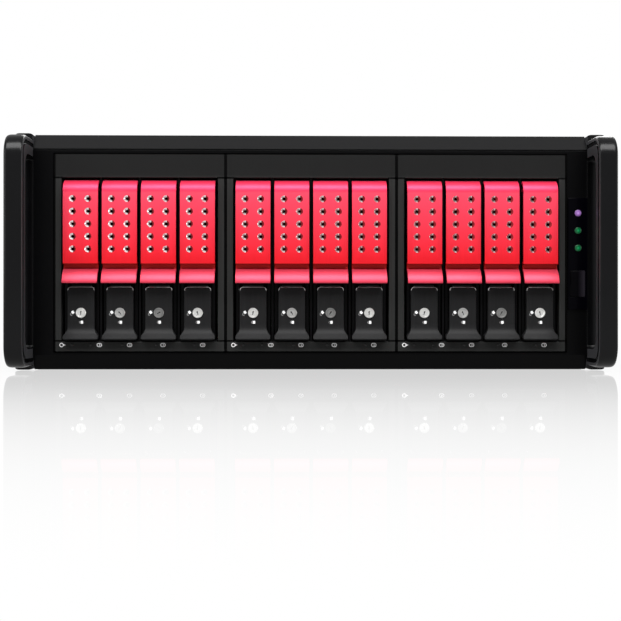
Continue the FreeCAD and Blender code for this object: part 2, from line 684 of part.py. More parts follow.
def fan_places():
    """Each fan's name with the x, y and z of its front face's middle."""
    cage_front = CAGE_DEEP - size.cage_wall - size.fan_deep
    rear_front = REAR_WALL - size.fan_deep
    places = [(f"cage_fan_rotor_{cage + 1}", cage_middle(cage), cage_front, FAN_MIDDLE)
              for cage in range(CAGES)]
    places += [(f"rear_fan_rotor_{index}", x, rear_front, size.rear_fan_rise)
               for index, x in enumerate(REAR_FANS, start=1)]
    return places


def make_fans():
    frame, rotor = make_fan_frame(), make_fan_rotor()
    frames = []
    for label, x, y, z in fan_places():
        frames.append(copy_at(f"{label}_housing", frame, x, y, z))
        keep(label, group(f"{label}_copy", [rotor]), x, y, z)
    keep("fan_frames", group("FanFrames", frames))


# ---------------------------------------------------------------- power supply and ports

def make_supply():
    rear = REAR_WALL - size.lap_gap
    x = (SUPPLY_LEFT, SUPPLY_RIGHT)
    case = box("SupplyCase", x, (rear - size.supply_deep, rear), (SUPPLY_LOW, SUPPLY_LOW + size.supply_high))
    inlet_bay = box("InletBay", inlet_bounds()[0], (rear - size.inlet_deep, rear + 1), inlet_bounds()[1])
    switch_x, switch_z = switch_bounds(size.switch_gap)
    switch_bay = box("SwitchBay", switch_x, (rear - size.switch_radius * 3, rear + 1), switch_z)
    slots, tall = [], (SUPPLY_LOW + size.vent_land, SUPPLY_LOW + size.supply_high - size.vent_land)
    for index in range(SIZES["vent_slots"]):
        left = SUPPLY_LEFT + size.vent_left + size.vent_pitch * index
        slots.append(box(f"VentSlot{index}", (left, left + size.vent_slot),
                         (rear - size.vent_deep, rear + 1), tall))
    return keep("power_supply", cut("PowerSupply", case, [inlet_bay, switch_bay] + slots))


def inlet_bounds():
    return around(INLET_MIDDLE, size.inlet_wide), around(size.inlet_rise, size.inlet_high)


def make_inlet():
    """The mains inlet: a recessed socket with three blades, flush-mounted with a flange."""
    (left, right), (low, top) = inlet_bounds()
    rear = REAR_WALL - size.lap_gap
    fit = size.lap_gap
    shell = box("InletShell", (left + fit, right - fit), (rear - size.inlet_deep + fit, rear),
                (low + fit, top - fit))
    lip = size.inlet_lip
    flange = box("InletFlange", (left - lip, right + lip), (rear, rear + size.inlet_flange),
                 (low - lip, top + lip))
    wall = size.socket_wall
    floor = rear - size.inlet_deep + wall
    mouth = box("InletMouth", (left + wall, right - wall), (floor, rear + size.inlet_flange + 1),
                (low + wall, top - wall))
    spots = ((-1, -Size(size.pin_drop)), (0, size.pin_rise), (1, -Size(size.pin_drop)))
    blades = [box(f"InletBlade{index}", around(INLET_MIDDLE + size.pin_spread * side, size.pin_wide),
                  (floor - 1, floor + size.pin_long), around(size.inlet_rise + rise, size.pin_high))
              for index, (side, rise) in enumerate(spots)]
    socket = cut("InletBody", fuse("InletSolid", [shell, flange]), [mouth])
    return keep("power_inlet", fuse("PowerInlet", [socket] + blades))


def switch_middle():
    """The switch lies below the inlet, on its side."""
    drop = (size.inlet_high + size.switch_high) / 2 + size.switch_space
    return INLET_MIDDLE, size.inlet_rise - drop


def switch_bounds(gap):
    x, z = switch_middle()
    return around(x, size.switch_high + 2 * Size(gap)), around(z, size.switch_wide + 2 * Size(gap))


def make_switch():
    """A rocker with two faces that meet at a shallow angle, turned about its pivot to rest on one side."""
    x, z = switch_middle()
    back, half = size.switch_pivot, size.switch_high / 2
    sag = half * math.tan(math.radians(SIZES["switch_tilt"]))
    body = new_body("Switch")
    profile = sketch(body, "RockerView", "XY_Plane", [[
        (-half, back + size.switch_proud), (-half, back), (-size.switch_radius, -Size(size.switch_radius)),
        (size.switch_radius, -Size(size.switch_radius)), (half, back), (half, back + size.switch_proud),
        (0, back + size.switch_proud - sag),
    ]], -size.switch_wide / 2)
    feature(body, "Pad", "Rocker", profile, size.switch_wide)
    body.Placement.Rotation = Rotation(Vector(0, 0, 1), number(size.switch_tilt))
    return keep("psu_switch", body, x=x, y=REAR_WALL - size.lap_gap - back, z=z)


def port_middle(index):
    return size.port_side + size.port_wide / 2 + size.port_pitch * index - TUB_INSIDE


def make_ports():
    """Data sockets: folded shells, open to the rear, with a flange inside the rear wall."""
    ports = []
    for index in range(SIZES["ports"]):
        x, z = around(port_middle(index), size.port_wide), around(size.port_rise, size.port_high)
        rear, wall = BODY_DEEP + size.port_proud, size.port_wall
        shell = box(f"PortShell{index}", x, (rear - size.port_deep, rear), z)
        flange = box(f"PortFlange{index}", (x[0] - size.port_flange, x[1] + size.port_flange),
                     (REAR_WALL - wall, REAR_WALL), (z[0] - size.port_flange, z[1] + size.port_flange))
        mouth = box(f"PortMouth{index}", (x[0] + wall, x[1] - wall),
                    (rear - size.port_deep + wall, rear + 1), (z[0] + wall, z[1] - wall))
        ports.append(cut(f"Port{index}", fuse(f"PortSolid{index}", [shell, flange]), [mouth]))
    return keep("data_ports", group("DataPorts", ports))


# ---------------------------------------------------------------- control panel

def panel_body_bounds(gap):
    inset = size.panel_inset
    x = (PANEL_LEFT + inset - gap, PANEL_RIGHT - inset + gap)
    return x, (size.panel_lift + inset - gap, PANEL_TOP - inset + gap)


def lamp_heights():
    return [PANEL_TOP - size.lamp_drop - size.lamp_pitch * index for index in range(3)]


def make_control_panel():
    """A moulded panel: a proud face over a narrower body that passes through the bezel."""
    body = new_body("ControlPanel")
    face = rectangle((PANEL_LEFT, PANEL_RIGHT), (size.panel_lift, PANEL_TOP))
    pad_back(body, "Face", [face], -Size(size.panel_proud), 0)
    pad_back(body, "Core", [rectangle(*panel_body_bounds(0))], 0, size.panel_deep)
    well = rectangle(around(BUTTON_MIDDLE, size.button_wide + 2 * size.panel_fit),
                     (BUTTON_LOW - size.panel_fit, BUTTON_LOW + size.button_high + size.panel_fit))
    cut_back(body, "ButtonWell", [well], -Size(size.panel_proud) - 1, size.button_travel + 1)
    return keep("control_panel", body)


def make_power_button():
    """The button's cap, crowned across its width."""
    half = size.button_wide / 2
    front = -Size(size.panel_proud) - size.button_proud
    body = new_body("PowerButton")
    crown = (half * half + size.button_crown * size.button_crown) / (2 * size.button_crown)
    profile = sketch(body, "CapView", "XY_Plane", [[
        (half, 0), (half, front + size.button_crown), (-half, front + size.button_crown, -Size(crown)),
        (-half, 0),
    ]], BUTTON_LOW)
    feature(body, "Pad", "Cap", profile, size.button_high)
    return keep("power_button", body, x=BUTTON_MIDDLE)


def make_lights():
    """Three panel lamps and the small light pipes in each cage's strip, one per bay and one for power."""
    lenses = []
    for index, z in enumerate(lamp_heights()):
        lenses.append(prism(f"PanelLamp{index}", "Y", size.lamp_radius, LENS_SIDES,
                            (-Size(size.panel_proud) - size.lamp_proud, -Size(size.panel_proud)),
                            x=BUTTON_MIDDLE, z=z))
    z = CAGE_LOW + size.light_rise
    for cage in range(CAGES):
        left = cage_middle(cage) - CAGE_WIDE / 2
        for index, x in enumerate(STRIP_LIGHTS):
            lenses.append(prism(f"StripLight{cage}{index}", "Y", size.light_radius, 6,
                                (-Size(size.cage_proud) - size.light_proud, -Size(size.cage_proud)),
                                x=left + x, z=z))
    return keep("status_lights", group("StatusLights", lenses))


# ---------------------------------------------------------------- trays

def make_carrier():
    """
    The tray: two cheeks with a square window each for the lever's and the latch's pin, a front
    wall with an air window, and a channel rail above and below the drive. Sides and rear are open.
    """
    low, top = TRAY_LOW + size.seat_gap, TRAY_TOP - size.seat_gap
    half = size.tray_wide / 2 - size.lap_gap
    nose = size.pin_radius + size.seat_gap + size.nose_wall
    cheek_front = PIVOT_Y - nose
    relief = size.latch_back + size.cheek_relief
    wall_front, wall_rear = size.face_front, size.face_front + size.face_wall
    ledge = LEVER_STEP + size.lever_wall + size.seat_gap
    shoulder = PIVOT_Z - size.seat_gap
    body = new_body("Carrier")
    pad_across(body, "Cheeks", [
        [(wall_rear, low), (wall_rear, top), (wall_front, top), (wall_front, shoulder),
         (PIVOT_Y + nose, shoulder), (PIVOT_Y + nose, PIVOT_Z + nose), (cheek_front, PIVOT_Z + nose),
         (cheek_front, ledge), (relief, ledge), (relief, low)],
        pin_window(PIVOT_Y, PIVOT_Z, size.pin_radius),
        pin_window(size.latch_pivot_deep, LATCH_PIVOT_Z, size.latch_pin),
    ], half)
    cut_across(body, "Mechanism", [rectangle((cheek_front - 1, wall_front), (low - 1, top + 1))],
               half - size.cheek_wall)
    rails = [rail_outline(low, DRIVE_MIDDLE - size.drive_high / 2 - size.drive_gap, 1),
             rail_outline(top, DRIVE_MIDDLE + size.drive_high / 2 + size.drive_gap, -1)]
    pad_back(body, "Rails", rails, wall_rear, size.tray_end)
    vent = rectangle(around(0, size.vent_wide), (LEVER_STEP, shoulder - size.vent_margin))
    cut_back(body, "AirWindow", [vent], wall_front - 1, wall_rear + 1)
    return body


def pin_window(y, z, radius):
    """The square window in a cheek that a pin turns in, a seat gap wider than the pin all round."""
    return rectangle(around(y, (radius + size.seat_gap) * 2), around(z, (radius + size.seat_gap) * 2))


def rail_outline(outside, inside, up):
    """A channel rail's section: its web lies next to the drive and its flanges point away."""
    half = size.tray_wide / 2 - size.rail_narrow
    wall = size.rail_wall
    web = Size(inside) - wall * up
    return [(-half, outside), (-half, inside), (half, inside), (half, outside),
            (half - wall, outside), (half - wall, web), (wall - half, web), (wall - half, outside)]


def make_lever():
    """
    The pull lever: a bent plate with a perforated face, an undercut and a curled finger lip,
    with a knuckle behind its top that turns on the tray's pin.
    """
    front, wall, bend = -Size(size.lever_proud), size.lever_wall, size.lever_bend
    neck = front + size.undercut_deep
    lip_front, lip_top = front - size.lip_reach, LEVER_LOW + size.lip_high
    body = new_body("Lever")
    pad_across(body, "Plate", [[
        (front, LEVER_STEP), (neck, LEVER_STEP), (neck, lip_top),
        (lip_front, LEVER_LOW + size.lip_edge, size.lip_curve), (lip_front, LEVER_LOW),
        (lip_front + wall, LEVER_LOW), (neck + wall, lip_top - size.lip_edge, -Size(size.lip_curve)),
        (neck + wall, LEVER_STEP + wall), (front + wall, LEVER_STEP + wall),
        (front + wall, TRAY_TOP - bend), (front + bend, TRAY_TOP - wall, wall - bend),
        (front + bend, TRAY_TOP), (front, TRAY_TOP - bend, bend),
    ]], size.tray_wide / 2)
    web = size.tray_wide / 2 - size.lap_gap - size.cheek_wall - size.knuckle_side_gap
    knuckle(body, front + wall / 2, PIVOT_Y, PIVOT_Z, size.pin_radius, web)
    holes = [polygon(size.hole_spread / 2 * side, TRAY_TOP - size.hole_drop - size.hole_pitch * index,
                     size.hole_radius, 6) for side in (-1, 1) for index in range(SIZES["hole_rows"])]
    cut_back(body, "Perforation", holes, front - 1, front + wall + 0.1)
    return body


def polygon(h, v, radius, sides):
    """The corners of a regular polygon; the first points along h."""
    turns = [math.tau * index / sides for index in range(sides)]
    return [(h + radius * math.cos(turn), v + radius * math.sin(turn)) for turn in turns]


def knuckle(body, plate, y, z, radius, half_width):
    """A tongue behind a plate, its heel round about the pivot, with a many-sided pin through it."""
    pad_across(body, "Tongue", [[
        (plate, z - radius), (y, z - radius), (y + radius, z, radius), (y + radius, z + radius),
        (plate, z + radius),
    ]], half_width)
    pad_across(body, "Pin", [polygon(y, z, radius, PIN_SIDES)], size.tray_wide / 2 - size.lap_gap)


def make_latch():
    """The latch: a plate that flares at its foot, hollowed in side view, on a knuckle at its back."""
    low, top = Size(TRAY_LOW), TRAY_LOW + size.latch_high
    half, corner = size.tray_wide / 2, size.latch_corner
    narrow = half - size.latch_inset
    flare, shoulder = low + size.flare_high, low + size.flare_high + size.flare_rise
    front, foot = -Size(size.latch_proud), -Size(size.flare_proud)
    body = new_body("Latch")
    pad_back(body, "Face", [[
        (-half, low), (half, low), (half, flare), (narrow, shoulder), (narrow, top - corner),
        (narrow - corner, top), (corner - narrow, top), (-narrow, top - corner),
        (-narrow, shoulder), (-half, flare),
    ]], foot, size.latch_back)
    far = foot - 1
    cut_across(body, "Hollow", [[
        (far, low - 1), (foot, low - 1), (foot, low + 1),
        (front, low + size.flare_top, size.flare_curve), (front, top - size.latch_chamfer),
        (front + size.latch_chamfer, top), (front + size.latch_chamfer, top + 1), (far, top + 1),
    ]], half + 1)
    knuckle(body, 0, Size(size.latch_pivot_deep), LATCH_PIVOT_Z, size.latch_pin, size.latch_knuckle_wide / 2)
    plug = prism("LockPlug", "Y", size.lock_radius, 12, (front - size.lock_proud, front),
                 z=low + size.lock_rise)
    return group("LockedLatch", [body, plug])


def make_bays():
    masters = {"tray": make_carrier(), "lever": make_lever(), "latch": make_latch()}
    for index in range(CAGES * BAYS_PER_CAGE):
        cage, bay = divmod(index, BAYS_PER_CAGE)
        for name, master in masters.items():
            label = f"{name}_{index + 1:02d}"
            keep(label, group(f"{name}_copy_{index + 1}", [master]), x=bay_middle(cage, bay))


# ---------------------------------------------------------------- build, check and write

def check():
    document.recompute()
    for item in document.Objects:
        if {"Invalid", "Error"} & set(item.State):
            raise RuntimeError(f"{item.Label} did not build: {item.State}")
    for item in pieces:
        if item.Shape.isNull() or not item.Shape.isValid():
            raise RuntimeError(f"{item.Label} has no valid shape")


def write():
    os.makedirs("parts", exist_ok=True)
    for item in pieces:
        item.Shape.exportStep(f"parts/{item.Label}.step")


make_bezel()
make_handle("handle_left", -1)
make_handle("handle_right", 1)
make_bay_frame()
make_tub()
make_cover()
make_handle_screws()
make_case_screws()
make_cage_frames()
make_cage_shells()
make_backplanes()
make_fans()
make_supply()
make_inlet()
make_switch()
make_ports()
make_control_panel()
make_power_button()
make_lights()
make_bays()
check()
write()
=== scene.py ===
"""The looks of a rack-height disk shelf: its finishes, its shaped pieces and its studio."""

import logging
import math
from dataclasses import dataclass, field
from enum import Enum
from functools import lru_cache
from typing import Iterable, Sequence, Union

import bmesh
import bpy
from mathutils import Matrix, Vector


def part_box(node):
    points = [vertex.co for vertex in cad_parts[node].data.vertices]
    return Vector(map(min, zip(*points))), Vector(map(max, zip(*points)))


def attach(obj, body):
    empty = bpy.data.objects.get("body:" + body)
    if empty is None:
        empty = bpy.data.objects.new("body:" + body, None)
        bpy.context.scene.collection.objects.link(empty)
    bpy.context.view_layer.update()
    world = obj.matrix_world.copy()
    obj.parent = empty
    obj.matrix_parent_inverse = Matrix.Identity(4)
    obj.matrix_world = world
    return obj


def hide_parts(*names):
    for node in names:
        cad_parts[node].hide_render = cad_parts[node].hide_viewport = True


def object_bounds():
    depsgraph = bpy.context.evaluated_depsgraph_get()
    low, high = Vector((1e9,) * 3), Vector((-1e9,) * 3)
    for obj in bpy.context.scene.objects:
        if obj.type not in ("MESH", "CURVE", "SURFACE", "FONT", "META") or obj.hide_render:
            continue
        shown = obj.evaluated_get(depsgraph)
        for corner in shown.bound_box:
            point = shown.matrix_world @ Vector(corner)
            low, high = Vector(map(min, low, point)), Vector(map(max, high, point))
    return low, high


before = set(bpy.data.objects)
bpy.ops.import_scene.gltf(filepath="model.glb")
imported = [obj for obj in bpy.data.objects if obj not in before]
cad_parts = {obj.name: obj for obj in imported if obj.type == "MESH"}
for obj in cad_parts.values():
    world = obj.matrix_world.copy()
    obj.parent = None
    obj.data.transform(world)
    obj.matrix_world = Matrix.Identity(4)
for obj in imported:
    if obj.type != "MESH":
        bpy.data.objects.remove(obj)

CAD_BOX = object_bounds()
CAGES = 3
BAYS_PER_CAGE = 4
SMOOTH_ANGLE = math.radians(35)
FLAT_ANGLE = math.radians(0.5)
WELD_GAP = 1e-6
LEAST_RADIUS = 1e-5
NOISE_ROUGHNESS = 0.55

log = logging.getLogger("disk_shelf")

Number = Union[int, float]
Flat = tuple[float, float]
Point = tuple[float, float, float]
Colour = tuple[float, float, float]


# ---------------------------------------------------------------- shader graphs

Value = Union[Number, Sequence[float], "Socket"]


class Socket:
    """One output of a node. Plain arithmetic on it adds Math nodes."""

    def __init__(self, graph: "Graph", output: bpy.types.NodeSocket) -> None:
        """Keeps the graph that new Math nodes go into, and the output."""
        self.graph = graph
        self.output = output

    def _math(self, operation: str, first: Value, second: Value) -> "Socket":
        """Adds a Math node for one operation."""
        return self.graph.node("ShaderNodeMath", {"operation": operation}, {0: first, 1: second})

    def __add__(self, other: Value) -> "Socket":
        """Adds a number or another socket."""
        return self._math("ADD", self, other)

    def __sub__(self, other: Value) -> "Socket":
        """Takes a number or another socket away."""
        return self._math("SUBTRACT", self, other)

    def __rsub__(self, other: Value) -> "Socket":
        """Takes this socket away from a number."""
        return self._math("SUBTRACT", other, self)

    def __mul__(self, other: Value) -> "Socket":
        """Multiplies by a number or another socket."""
        return self._math("MULTIPLY", self, other)

    def __truediv__(self, other: Value) -> "Socket":
        """Divides by a number or another socket."""
        return self._math("DIVIDE", self, other)

    def __pow__(self, other: Value) -> "Socket":
        """Raises to a power."""
        return self._math("POWER", self, other)

    def below(self, limit: float) -> "Socket":
        """1 where this is under a limit, 0 elsewhere."""
        return self._math("LESS_THAN", self, limit)

    def at_least(self, least: float) -> "Socket":
        """This, or the least where this is under it."""
        return self._math("MAXIMUM", self, least)

    def unsigned(self) -> "Socket":
        """This without its sign."""
        return self.graph.node("ShaderNodeMath", {"operation": "ABSOLUTE"}, {0: self})


class Graph:
    """The node graph of one material or of the world."""

    def __init__(self, tree: bpy.types.NodeTree) -> None:
        """Empties the tree."""
        self.tree = tree
        tree.nodes.clear()

    def node(self, kind: str, settings: dict | None = None, sockets: dict | None = None,
             output: int | str = 0) -> Socket:
        """
        Adds one node.

        Args:
            kind: The node's type.
            settings: What is set on the node first; "stops" are a ramp's (place, colour) pairs.
            sockets: A value or a link for each named or numbered input.
            output: The output to return.

        Returns:
            The chosen output.
        """
        made = self.tree.nodes.new(kind)
        for name, value in (settings or {}).items():
            if name == "stops":
                self._set_stops(made.color_ramp, value)
            else:
                setattr(made, name, value)
        for name, value in (sockets or {}).items():
            if isinstance(value, Socket):
                self.tree.links.new(value.output, made.inputs[name])
            else:
                made.inputs[name].default_value = value
        return Socket(self, made.outputs[output]) if made.outputs else None

    @staticmethod
    def _set_stops(ramp: bpy.types.ColorRamp, stops: Sequence[tuple[float, Colour]]) -> None:
        """Gives a colour ramp its stops."""
        while len(ramp.elements) < len(stops):
            ramp.elements.new(1.0)
        for element, (place, colour) in zip(ramp.elements, stops):
            element.position = place
            element.color = (*colour, 1.0)

    def position(self) -> Socket:
        """The place on the piece, in its own metres."""
        return self.node("ShaderNodeTexCoord", output="Object")

    def axis(self, vector: Socket, name: str) -> Socket:
        """One of a vector's parts, by its letter."""
        return self.node("ShaderNodeSeparateXYZ", sockets={0: vector}, output=name)

    def stretched(self, vector: Socket, scale: Sequence[float]) -> Socket:
        """A vector multiplied part by part."""
        return self.node("ShaderNodeVectorMath", {"operation": "MULTIPLY"}, {0: vector, 1: scale})

    def noise(self, vector: Socket, scale: float, detail: float) -> Socket:
        """Noise between 0 and 1."""
        return self.node("ShaderNodeTexNoise", {"noise_dimensions": "3D"}, {
            "Vector": vector, "Scale": scale, "Detail": detail, "Roughness": NOISE_ROUGHNESS})

    def ranged(self, value: Socket, first: Flat, last: Flat = (0.0, 1.0),
               fade: str = "LINEAR") -> Socket:
        """A value's place between two numbers, as a place between two others."""
        return self.node("ShaderNodeMapRange", {"interpolation_type": fade}, {
            "Value": value, "From Min": first[0], "From Max": first[1],
            "To Min": last[0], "To Max": last[1]})

    def mix(self, factor: Value, first: Value, second: Value) -> Socket:
        """Mixes two colours."""
        pair = [(*c, 1.0) if isinstance(c, tuple) else c for c in (first, second)]
        return self.node("ShaderNodeMix", {"data_type": "RGBA"},
                         {0: factor, 6: pair[0], 7: pair[1]}, output=2)

    def bump(self, height: Socket, strength: float, distance: float) -> Socket:
        """A normal bent by a height."""
        return self.node("ShaderNodeBump", sockets={"Strength": strength, "Distance": distance,
                                                    "Height": height})

    def surface(self, shader: Socket) -> None:
        """Links the last shader to the output."""
        kind = "World" if isinstance(self.tree.id_data, bpy.types.World) else "Material"
        self.node(f"ShaderNodeOutput{kind}", sockets={"Surface": shader})


# ---------------------------------------------------------------- finishes

@dataclass(frozen=True)
class Finish:
    """What all finishes share: a name, a colour, how rough they are and how much both vary."""

    name: str
    colour: Colour
    roughness: float
    contrast: float = 0.12
    gloss_spread: float = 0.08

    @lru_cache(maxsize=None)
    def material(self) -> bpy.types.Material:
        """The finish as a material, made once."""
        made = bpy.data.materials.new(self.name)
        made.use_nodes = True
        graph = Graph(made.node_tree)
        graph.surface(self.shade(graph))
        made.diffuse_color = (*self.colour, 1.0)
        return made

    def shade(self, graph: Graph) -> Socket:
        """Builds the shader; each finish has its own."""
        raise NotImplementedError

    def varied(self, graph: Graph, amount: Socket) -> Socket:
        """The colour, darker to lighter by the contrast as an amount goes from 0 to 1."""
        dark = tuple(c * (1 - self.contrast) for c in self.colour)
        light = tuple(min(1.0, c * (1 + self.contrast)) for c in self.colour)
        return graph.mix(amount, dark, light)

    def uneven(self, amount: Socket) -> Socket:
        """The roughness, lower to higher by its spread as an amount goes from 0 to 1."""
        return amount * self.gloss_spread + (self.roughness - self.gloss_spread / 2)


@dataclass(frozen=True)
class PowderCoat(Finish):
    """Baked paint on sheet steel, with the fine pebble that such paint has."""

    contrast: float = 0.25
    gloss_spread: float = 0.12
    patch_scale: float = 25.0
    pebble: float = 0.0007
    pebble_high: float = 0.0001
    depth: float = 0.25
    specular: float = 0.4

    def shade(self, graph: Graph) -> Socket:
        """A dielectric with pebble bump and slow patches in its colour and gloss."""
        place = graph.position()
        pebble = graph.noise(place, 1 / self.pebble, detail=2.0)
        patches = graph.noise(place, self.patch_scale, detail=4.0)
        return graph.node("ShaderNodeBsdfPrincipled", sockets={
            "Base Color": self.varied(graph, patches),
            "Roughness": self.uneven(patches),
            "Specular IOR Level": self.specular,
            "Normal": graph.bump(pebble, self.depth, self.pebble_high)})


@dataclass(frozen=True)
class Brushed(Finish):
    """A surface brushed one way, dyed or lacquered, with a second colour at one end if wanted; on
    the bezel, the levers and the button that second colour is painted light.
    """

    gloss_spread: float = 0.16
    along: Point = (0.0, 0.0, 1.0)
    metallic: float = 0.9
    specular: float = 0.5
    coat: float = 0.25
    coat_roughness: float = 0.3
    streak: float = 0.0006
    streak_stretch: float = 60.0
    streak_shift: float = 3.0
    broad: float = 3.0
    fine_share: float = 0.6
    depth: float = 0.12
    streak_high: float = 0.0002
    # The top colour is painted light on the bezel's top slope, the levers and the button, and the
    # darker blank plates on the cages.
    top: Colour | None = None
    top_low: float = 0.0
    top_high: float = 1.0
    top_axis: str = "Z"
    top_share: float = 0.85

    def shade(self, graph: Graph) -> Socket:
        """Colour, gloss and bump that follow long fine streaks, other ones on each piece."""
        place = graph.position()
        shift = graph.node("ShaderNodeObjectInfo", output="Random") * self.streak_shift
        moved = graph.node("ShaderNodeVectorMath", {"operation": "ADD"}, {0: place, 1: shift})
        squeeze = tuple(1 / (self.streak * (self.streak_stretch if part else 1.0))
                        for part in self.along)
        wider = tuple(part / self.broad for part in squeeze)
        fine = graph.noise(graph.stretched(moved, squeeze), 1.0, detail=3.0)
        broad = graph.noise(graph.stretched(moved, wider), 1.0, detail=2.0)
        streaks = fine * self.fine_share + broad * (1 - self.fine_share)
        return graph.node("ShaderNodeBsdfPrincipled", sockets={
            "Base Color": self.streaked(graph, place, streaks),
            "Metallic": self.metallic,
            "Roughness": self.uneven(streaks),
            "Specular IOR Level": self.specular,
            "Coat Weight": self.coat, "Coat Roughness": self.coat_roughness,
            "Normal": graph.bump(streaks, self.depth, self.streak_high)})

    def streaked(self, graph: Graph, place: Socket, streaks: Socket) -> Socket:
        """The colour along the streaks, blended into the top's colour where there is one."""
        colour = self.varied(graph, streaks)
        if not self.top:
            return colour
        height = graph.ranged(graph.axis(place, self.top_axis), (self.top_low, self.top_high))
        return graph.mix(height * self.top_share, colour, self.top)


@dataclass(frozen=True)
class LeverRedWithPaintedLight(Brushed):
    """The levers' red with painted light: painted shade deep in the undercut and over the bend, and
    a pinker painted highlight on the curled lip.
    """

    # Pinker on the lip: a painted highlight.
    lip: Colour = (0.96, 0.10, 0.19)
    lip_top: float = 0.0108
    lip_highlight_share: float = 0.4
    # Darker over the bend: painted shade that tones down the lamp's highlight there.
    bend: Colour = (0.72, 0.014, 0.07)
    bend_low: float = 0.0672
    bend_high: float = 0.0690
    bend_shade_share: float = 0.7
    # Deep red in the undercut: painted shade.
    hollow: Colour = (0.32, 0.0006, 0.0006)
    hollow_shade_top: float = 0.0148
    hollow_shade_back: float = 0.005

    def streaked(self, graph: Graph, place: Socket, streaks: Socket) -> Socket:
        """The streaked colour with painted shade in the undercut and over the bend, and a painted
        highlight on the lip.
        """
        colour = super().streaked(graph, place, streaks)
        height = graph.axis(place, "Z")
        under = height.below(self.hollow_shade_top) * graph.axis(place, "Y").below(self.hollow_shade_back)
        bend = graph.ranged(height, (self.bend_low, self.bend_high))
        # Painted shade in the undercut and over the bend, then the lip's painted highlight.
        colour = graph.mix(under, colour, self.hollow)
        colour = graph.mix(bend * self.bend_shade_share, colour, self.bend)
        return graph.mix(height.below(self.lip_top) * self.lip_highlight_share, colour, self.lip)


@dataclass(frozen=True)
class Metal(Finish):
    """Bare or plated metal, with faint turning marks or handling marks."""

    contrast: float = 0.08
    gloss_spread: float = 0.14
    grain: float = 0.0015
    grain_high: float = 0.0001
    depth: float = 0.06

    def shade(self, graph: Graph) -> Socket:
        """A metal whose colour, gloss and bump follow its marks."""
        marks = graph.noise(graph.position(), 1 / self.grain, detail=4.0)
        return graph.node("ShaderNodeBsdfPrincipled", sockets={
            "Base Color": self.varied(graph, marks), "Metallic": 1.0,
            "Roughness": self.uneven(marks),
            "Normal": graph.bump(marks, self.depth, self.grain_high)})


@dataclass(frozen=True)
class Moulded(Finish):
    """Moulded plastic: gloss or spark-eroded grain, by its roughness and depth."""

    patch_scale: float = 60.0
    grain: float = 0.0005
    grain_high: float = 0.00008
    depth: float = 0.2
    specular: float = 0.5
    coat: float = 0.0
    coat_roughness: float = 0.08

    def shade(self, graph: Graph) -> Socket:
        """A plastic with a fine grain and slightly uneven colour and gloss."""
        place = graph.position()
        grain = graph.noise(place, 1 / self.grain, detail=2.0)
        patches = graph.noise(place, self.patch_scale, detail=3.0)
        return graph.node("ShaderNodeBsdfPrincipled", sockets={
            "Base Color": self.varied(graph, patches),
            "Roughness": self.uneven(patches),
            "Specular IOR Level": self.specular,
            "Coat Weight": self.coat, "Coat Roughness": self.coat_roughness,
            "Normal": graph.bump(grain, self.depth, self.grain_high)})


@dataclass(frozen=True)
class Lens(Finish):
    """A lamp's coloured lens, lit from inside and brightest in its middle."""

    glow: Colour = (0.0, 0.0, 0.0)
    core: Colour = (1.0, 1.0, 1.0)
    radius: float = 0.0025
    halo: float = 0.45
    rim_share: float = 0.12
    specular: float = 0.2
    coat: float = 0.15
    coat_roughness: float = 0.05

    def shade(self, graph: Graph) -> Socket:
        """A smooth lens whose own light falls off from its axis."""
        place = graph.position()
        across = graph.node("ShaderNodeVectorMath", {"operation": "LENGTH"},
                            {0: graph.stretched(place, (1.0, 0.0, 1.0))}, output="Value")
        rim = tuple(c * self.rim_share for c in self.glow)
        fade = graph.node("ShaderNodeValToRGB", {
            "stops": [(0.0, self.core), (self.halo, self.glow), (1.0, rim)]},
            {"Fac": across / self.radius})
        return graph.node("ShaderNodeBsdfPrincipled", sockets={
            "Base Color": (*self.colour, 1.0), "Roughness": self.roughness,
            "Specular IOR Level": self.specular,
            "Coat Weight": self.coat, "Coat Roughness": self.coat_roughness,
            "Emission Color": fade, "Emission Strength": 1.0})


@dataclass(frozen=True)
class CircuitBoard(Finish):
    """Solder mask over copper tracks."""

    cell_scale: float = 120.0
    track_wide: float = 0.06
    track_high: float = 0.00005
    track_gain: float = 1.7
    track_lift: float = 0.01
    depth: float = 0.3
    coat: float = 0.5
    coat_roughness: float = 0.15

    def shade(self, graph: Graph) -> Socket:
        """Green lacquer, lighter where a track runs under it."""
        cells = graph.node("ShaderNodeTexVoronoi", {"feature": "DISTANCE_TO_EDGE"},
                           {"Vector": graph.position(), "Scale": self.cell_scale},
                           output="Distance")
        track = cells.below(self.track_wide)
        lighter = tuple(min(1.0, c * self.track_gain + self.track_lift) for c in self.colour)
        return graph.node("ShaderNodeBsdfPrincipled", sockets={
            "Base Color": graph.mix(track, self.colour, lighter), "Roughness": self.roughness,
            "Coat Weight": self.coat, "Coat Roughness": self.coat_roughness,
            "Normal": graph.bump(track, self.depth, self.track_high)})


# Lighter above the edge of the top slope: painted light, as if lit from above.
BEZEL_BLACK = Brushed(
    "bezel_black", (0.0006, 0.0006, 0.0008), 0.34, along=(1.0, 0.0, 0.0), metallic=0.0,
    specular=0.07, coat=0.0, contrast=0.3, top=(0.011, 0.011, 0.0113), top_low=0.1655,
    top_high=0.1662)
HANDLE_BLACK = Moulded("handle_black", (0.0014, 0.0014, 0.0018), 0.24, grain=0.0009, depth=0.05,
                       specular=0.17, coat=0.05)
